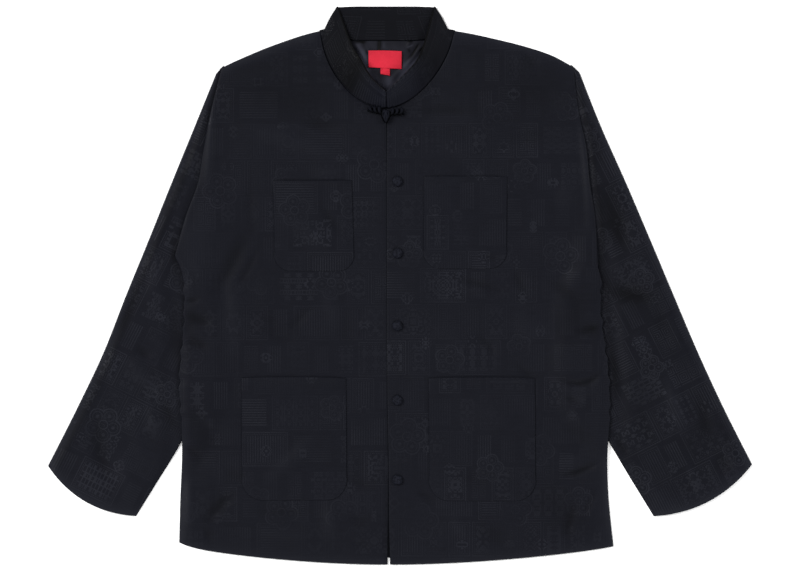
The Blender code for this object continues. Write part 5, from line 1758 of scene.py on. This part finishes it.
class JACKET_OT_frog(bpy.types.Operator):
    """Bend the frog closure's two looped wings and tie its ball knot"""

    bl_idname = "jacket.frog"
    bl_label = "Frog closure"

    loop_steps = 22
    knot_steps, knot_bights, knot_turns = 240, 5, 3
    knot_reach = 1.12  # the angle, in radians, that its cord climbs above its middle
    knot_weave = 0.0004  # how far a pass of the cord goes over or under the next
    knot_pull, knot_pull_from, knot_pull_run = 0.72, 0.35, 1.35  # it is drawn in to its lower end

    def execute(self, context):
        sizes = context.scene.jacket_sizes
        for side in SIDES:
            self.bend_wing(side, sizes)
        self.tie_knot(sizes)
        return {"FINISHED"}

    def cord_piece(self, name, points, radius, cyclic, tone_at):
        """Run a round cord through the points and make it a mesh, with painted light and shade at each
        place.
        """
        bpy.ops.curve.primitive_bezier_curve_add(location=(0, 0, 0))
        cord = own_mesh(name)
        curve = cord.data
        curve.splines.clear()
        spline = curve.splines.new("POLY")
        spline.points.add(len(points) - 1)
        for point, place in zip(spline.points, points):
            point.co = (*place, 1.0)
        spline.use_cyclic_u = cyclic
        curve.bevel_depth = radius
        curve.bevel_resolution = 3
        curve.use_fill_caps = True
        bpy.ops.object.convert(target="MESH")
        cord = own_mesh(name)
        finish_piece(cord)
        tones = cord.data.attributes.new("tone", "FLOAT", "POINT")
        for vertex, value in zip(cord.data.vertices, tones.data):
            value.value = tone_at(vertex.co)
        return cord

    def bend_wing(self, side, sizes):
        """Bend a row of loops out from the knot, along the neck seam."""
        out = OUTWARD[side]
        steps = sizes.wing_loops * self.loop_steps
        start_x = KNOT_CENTRE[0] + out * WING_START
        base_y = KNOT_CENTRE[1] + WING_RISE[side]
        base_z = float(front_top([start_x], [base_y], sizes)[0]) + sizes.cord + SEAT_GAP
        points = []
        for i in range(steps + 1):
            t = i / steps
            turn = TURN * sizes.wing_loops * t
            fade = 1 - WING_TAPER[side] * t
            x = start_x + out * (WING_LENGTH * t + WING_SWING * fade * math.sin(turn))
            y = base_y - WING_HALF_WIDTH * fade * math.cos(turn) + WING_CLIMB[side] * t
            z = base_z + 0.9 * sizes.cord * (1 + math.sin(turn))
            points.append((x, y, z))

        def tone_at(place):
            """Return a darker tone below than above: painted shade under the wing."""
            t = (place.x - start_x) * out / WING_LENGTH
            above = place.y - (base_y + WING_CLIMB[side] * t)
            return 1.15 * float(smooth_step((above + 0.0052) / 0.0050)) - 1.0

        wing = self.cord_piece("Frog_wing_" + side, points, sizes.cord, False, tone_at)
        dress(wing, "frog_wing_" + side, "covered_trim")

    def tie_knot(self, sizes):
        """Tie a ball of interlaced cord, drawn out into a point below."""
        radius = sizes.knot_radius
        centre = Vector((*KNOT_CENTRE, float(front_top([NECK_X], [KNOT_CENTRE[1]], sizes)[0])))
        centre.z += 0.6 * radius
        points = []
        for i in range(self.knot_steps):
            turn = TURN * i / self.knot_steps
            lift = self.knot_reach * math.sin(self.knot_bights * turn)
            spin = self.knot_turns * turn
            over = self.knot_weave * math.cos(2 * self.knot_bights * turn + 0.6)
            place = Vector((
                math.cos(lift) * math.cos(spin), math.sin(lift), math.cos(lift) * math.sin(spin)
            )) * (radius - sizes.cord + over)
            low = smooth_step((self.knot_pull_from - place.y / radius) / self.knot_pull_run)
            pull = 1 - self.knot_pull * low
            height = place.z * KNOT_FLATTEN * (0.4 + 0.6 * pull)
            points.append(centre + Vector((place.x * pull, place.y * KNOT_STRETCH, height)))

        def tone_at(place):
            """Return painted light in the knot's middle, and painted shade round it and below."""
            aside = abs(place.x - centre.x) / radius
            low = (centre.y - place.y) / (KNOT_STRETCH * radius)
            return 0.6 - 1.5 * float(smooth_step((aside + max(0.0, low) * 0.9 - 0.45) / 0.40))

        knot = self.cord_piece("Frog_knot", points, sizes.cord, True, tone_at)
        dress(knot, "frog_knot", "covered_trim")


# ------------------------------------------------------------------ operators: stage
class JACKET_OT_stage(bpy.types.Operator):
    """Set the floor, the lights and the camera straight above"""

    bl_idname = "jacket.stage"
    bl_label = "Stage"

    def execute(self, context):
        bpy.ops.mesh.primitive_plane_add(size=FLOOR_SIZE, location=(0, 0, 0))
        floor = own_mesh("Floor")
        floor.data.materials.append(finish_named("floor"))
        for row in LIGHTS:
            self.hang_light(row)
        world = bpy.data.worlds.new("Studio")
        context.scene.world = world
        world.use_nodes = True
        world.node_tree.nodes["Background"].inputs[0].default_value = (1.0, 1.0, 1.0, 1.0)
        world.node_tree.nodes["Background"].inputs[1].default_value = SKY_STRENGTH
        context.scene.view_settings.view_transform = "Standard"
        bpy.ops.object.camera_add(location=(0, 0, CAMERA_HEIGHT), rotation=(0, 0, 0))
        camera = own_mesh("Camera")
        camera.data.sensor_width = SENSOR_WIDTH
        camera.data.lens = SENSOR_WIDTH * CAMERA_HEIGHT / VIEW_WIDTH
        context.scene.camera = camera
        return {"FINISHED"}

    def hang_light(self, row):
        """Hang a broad, far soft light."""
        bpy.ops.object.light_add(type="SUN", location=(0, 0, 3))
        lamp = own_mesh(row.name)
        lamp.data.angle = math.radians(LIGHT_SPREAD)
        lamp.data.energy = row.strength
        lamp.rotation_euler = (0, math.radians(90 - row.height), math.radians(row.azimuth))


# ------------------------------------------------------------------ add-on
class JACKET_PT_panel(bpy.types.Panel):
    """Lists the jacket's pieces, sizes and colours."""

    bl_idname = "JACKET_PT_panel"
    bl_label = "Tang jacket"
    bl_space_type = "VIEW_3D"
    bl_region_type = "UI"
    bl_category = "Jacket"

    def draw(self, context):
        for group in (context.scene.jacket_sizes, context.scene.jacket_colours):
            column = self.layout.column(align=True)
            for name in group.__annotations__:
                column.prop(group, name)
        for operator in OPERATORS:
            self.layout.operator(operator.bl_idname)


OPERATORS = (
    JACKET_OT_stage,
    JACKET_OT_back,
    JACKET_OT_underlap,
    JACKET_OT_sleeves,
    JACKET_OT_fronts,
    JACKET_OT_collar,
    JACKET_OT_lining,
    JACKET_OT_labels,
    JACKET_OT_pockets,
    JACKET_OT_buttons,
    JACKET_OT_frog,
)
CLASSES = (JacketSizes, JacketColours, *OPERATORS, JACKET_PT_panel)


def register():
    """Add the classes, and the sizes and colours to the scene."""
    for cls in CLASSES:
        bpy.utils.register_class(cls)
    bpy.types.Scene.jacket_sizes = PointerProperty(type=JacketSizes)
    bpy.types.Scene.jacket_colours = PointerProperty(type=JacketColours)


def unregister():
    """Take away what register added."""
    del bpy.types.Scene.jacket_colours
    del bpy.types.Scene.jacket_sizes
    for cls in reversed(CLASSES):
        bpy.utils.unregister_class(cls)


def main():
    """Make every piece in order."""
    register()
    bpy.ops.object.select_all(action="DESELECT")
    bpy.ops.jacket.stage()
    bpy.ops.jacket.back()
    bpy.ops.jacket.underlap()
    bpy.ops.jacket.sleeves()
    bpy.ops.jacket.fronts()
    bpy.ops.jacket.collar()
    bpy.ops.jacket.lining()
    bpy.ops.jacket.labels()
    bpy.ops.jacket.pockets()
    bpy.ops.jacket.buttons()
    bpy.ops.jacket.frog()


if __name__ == "__main__":
    main()
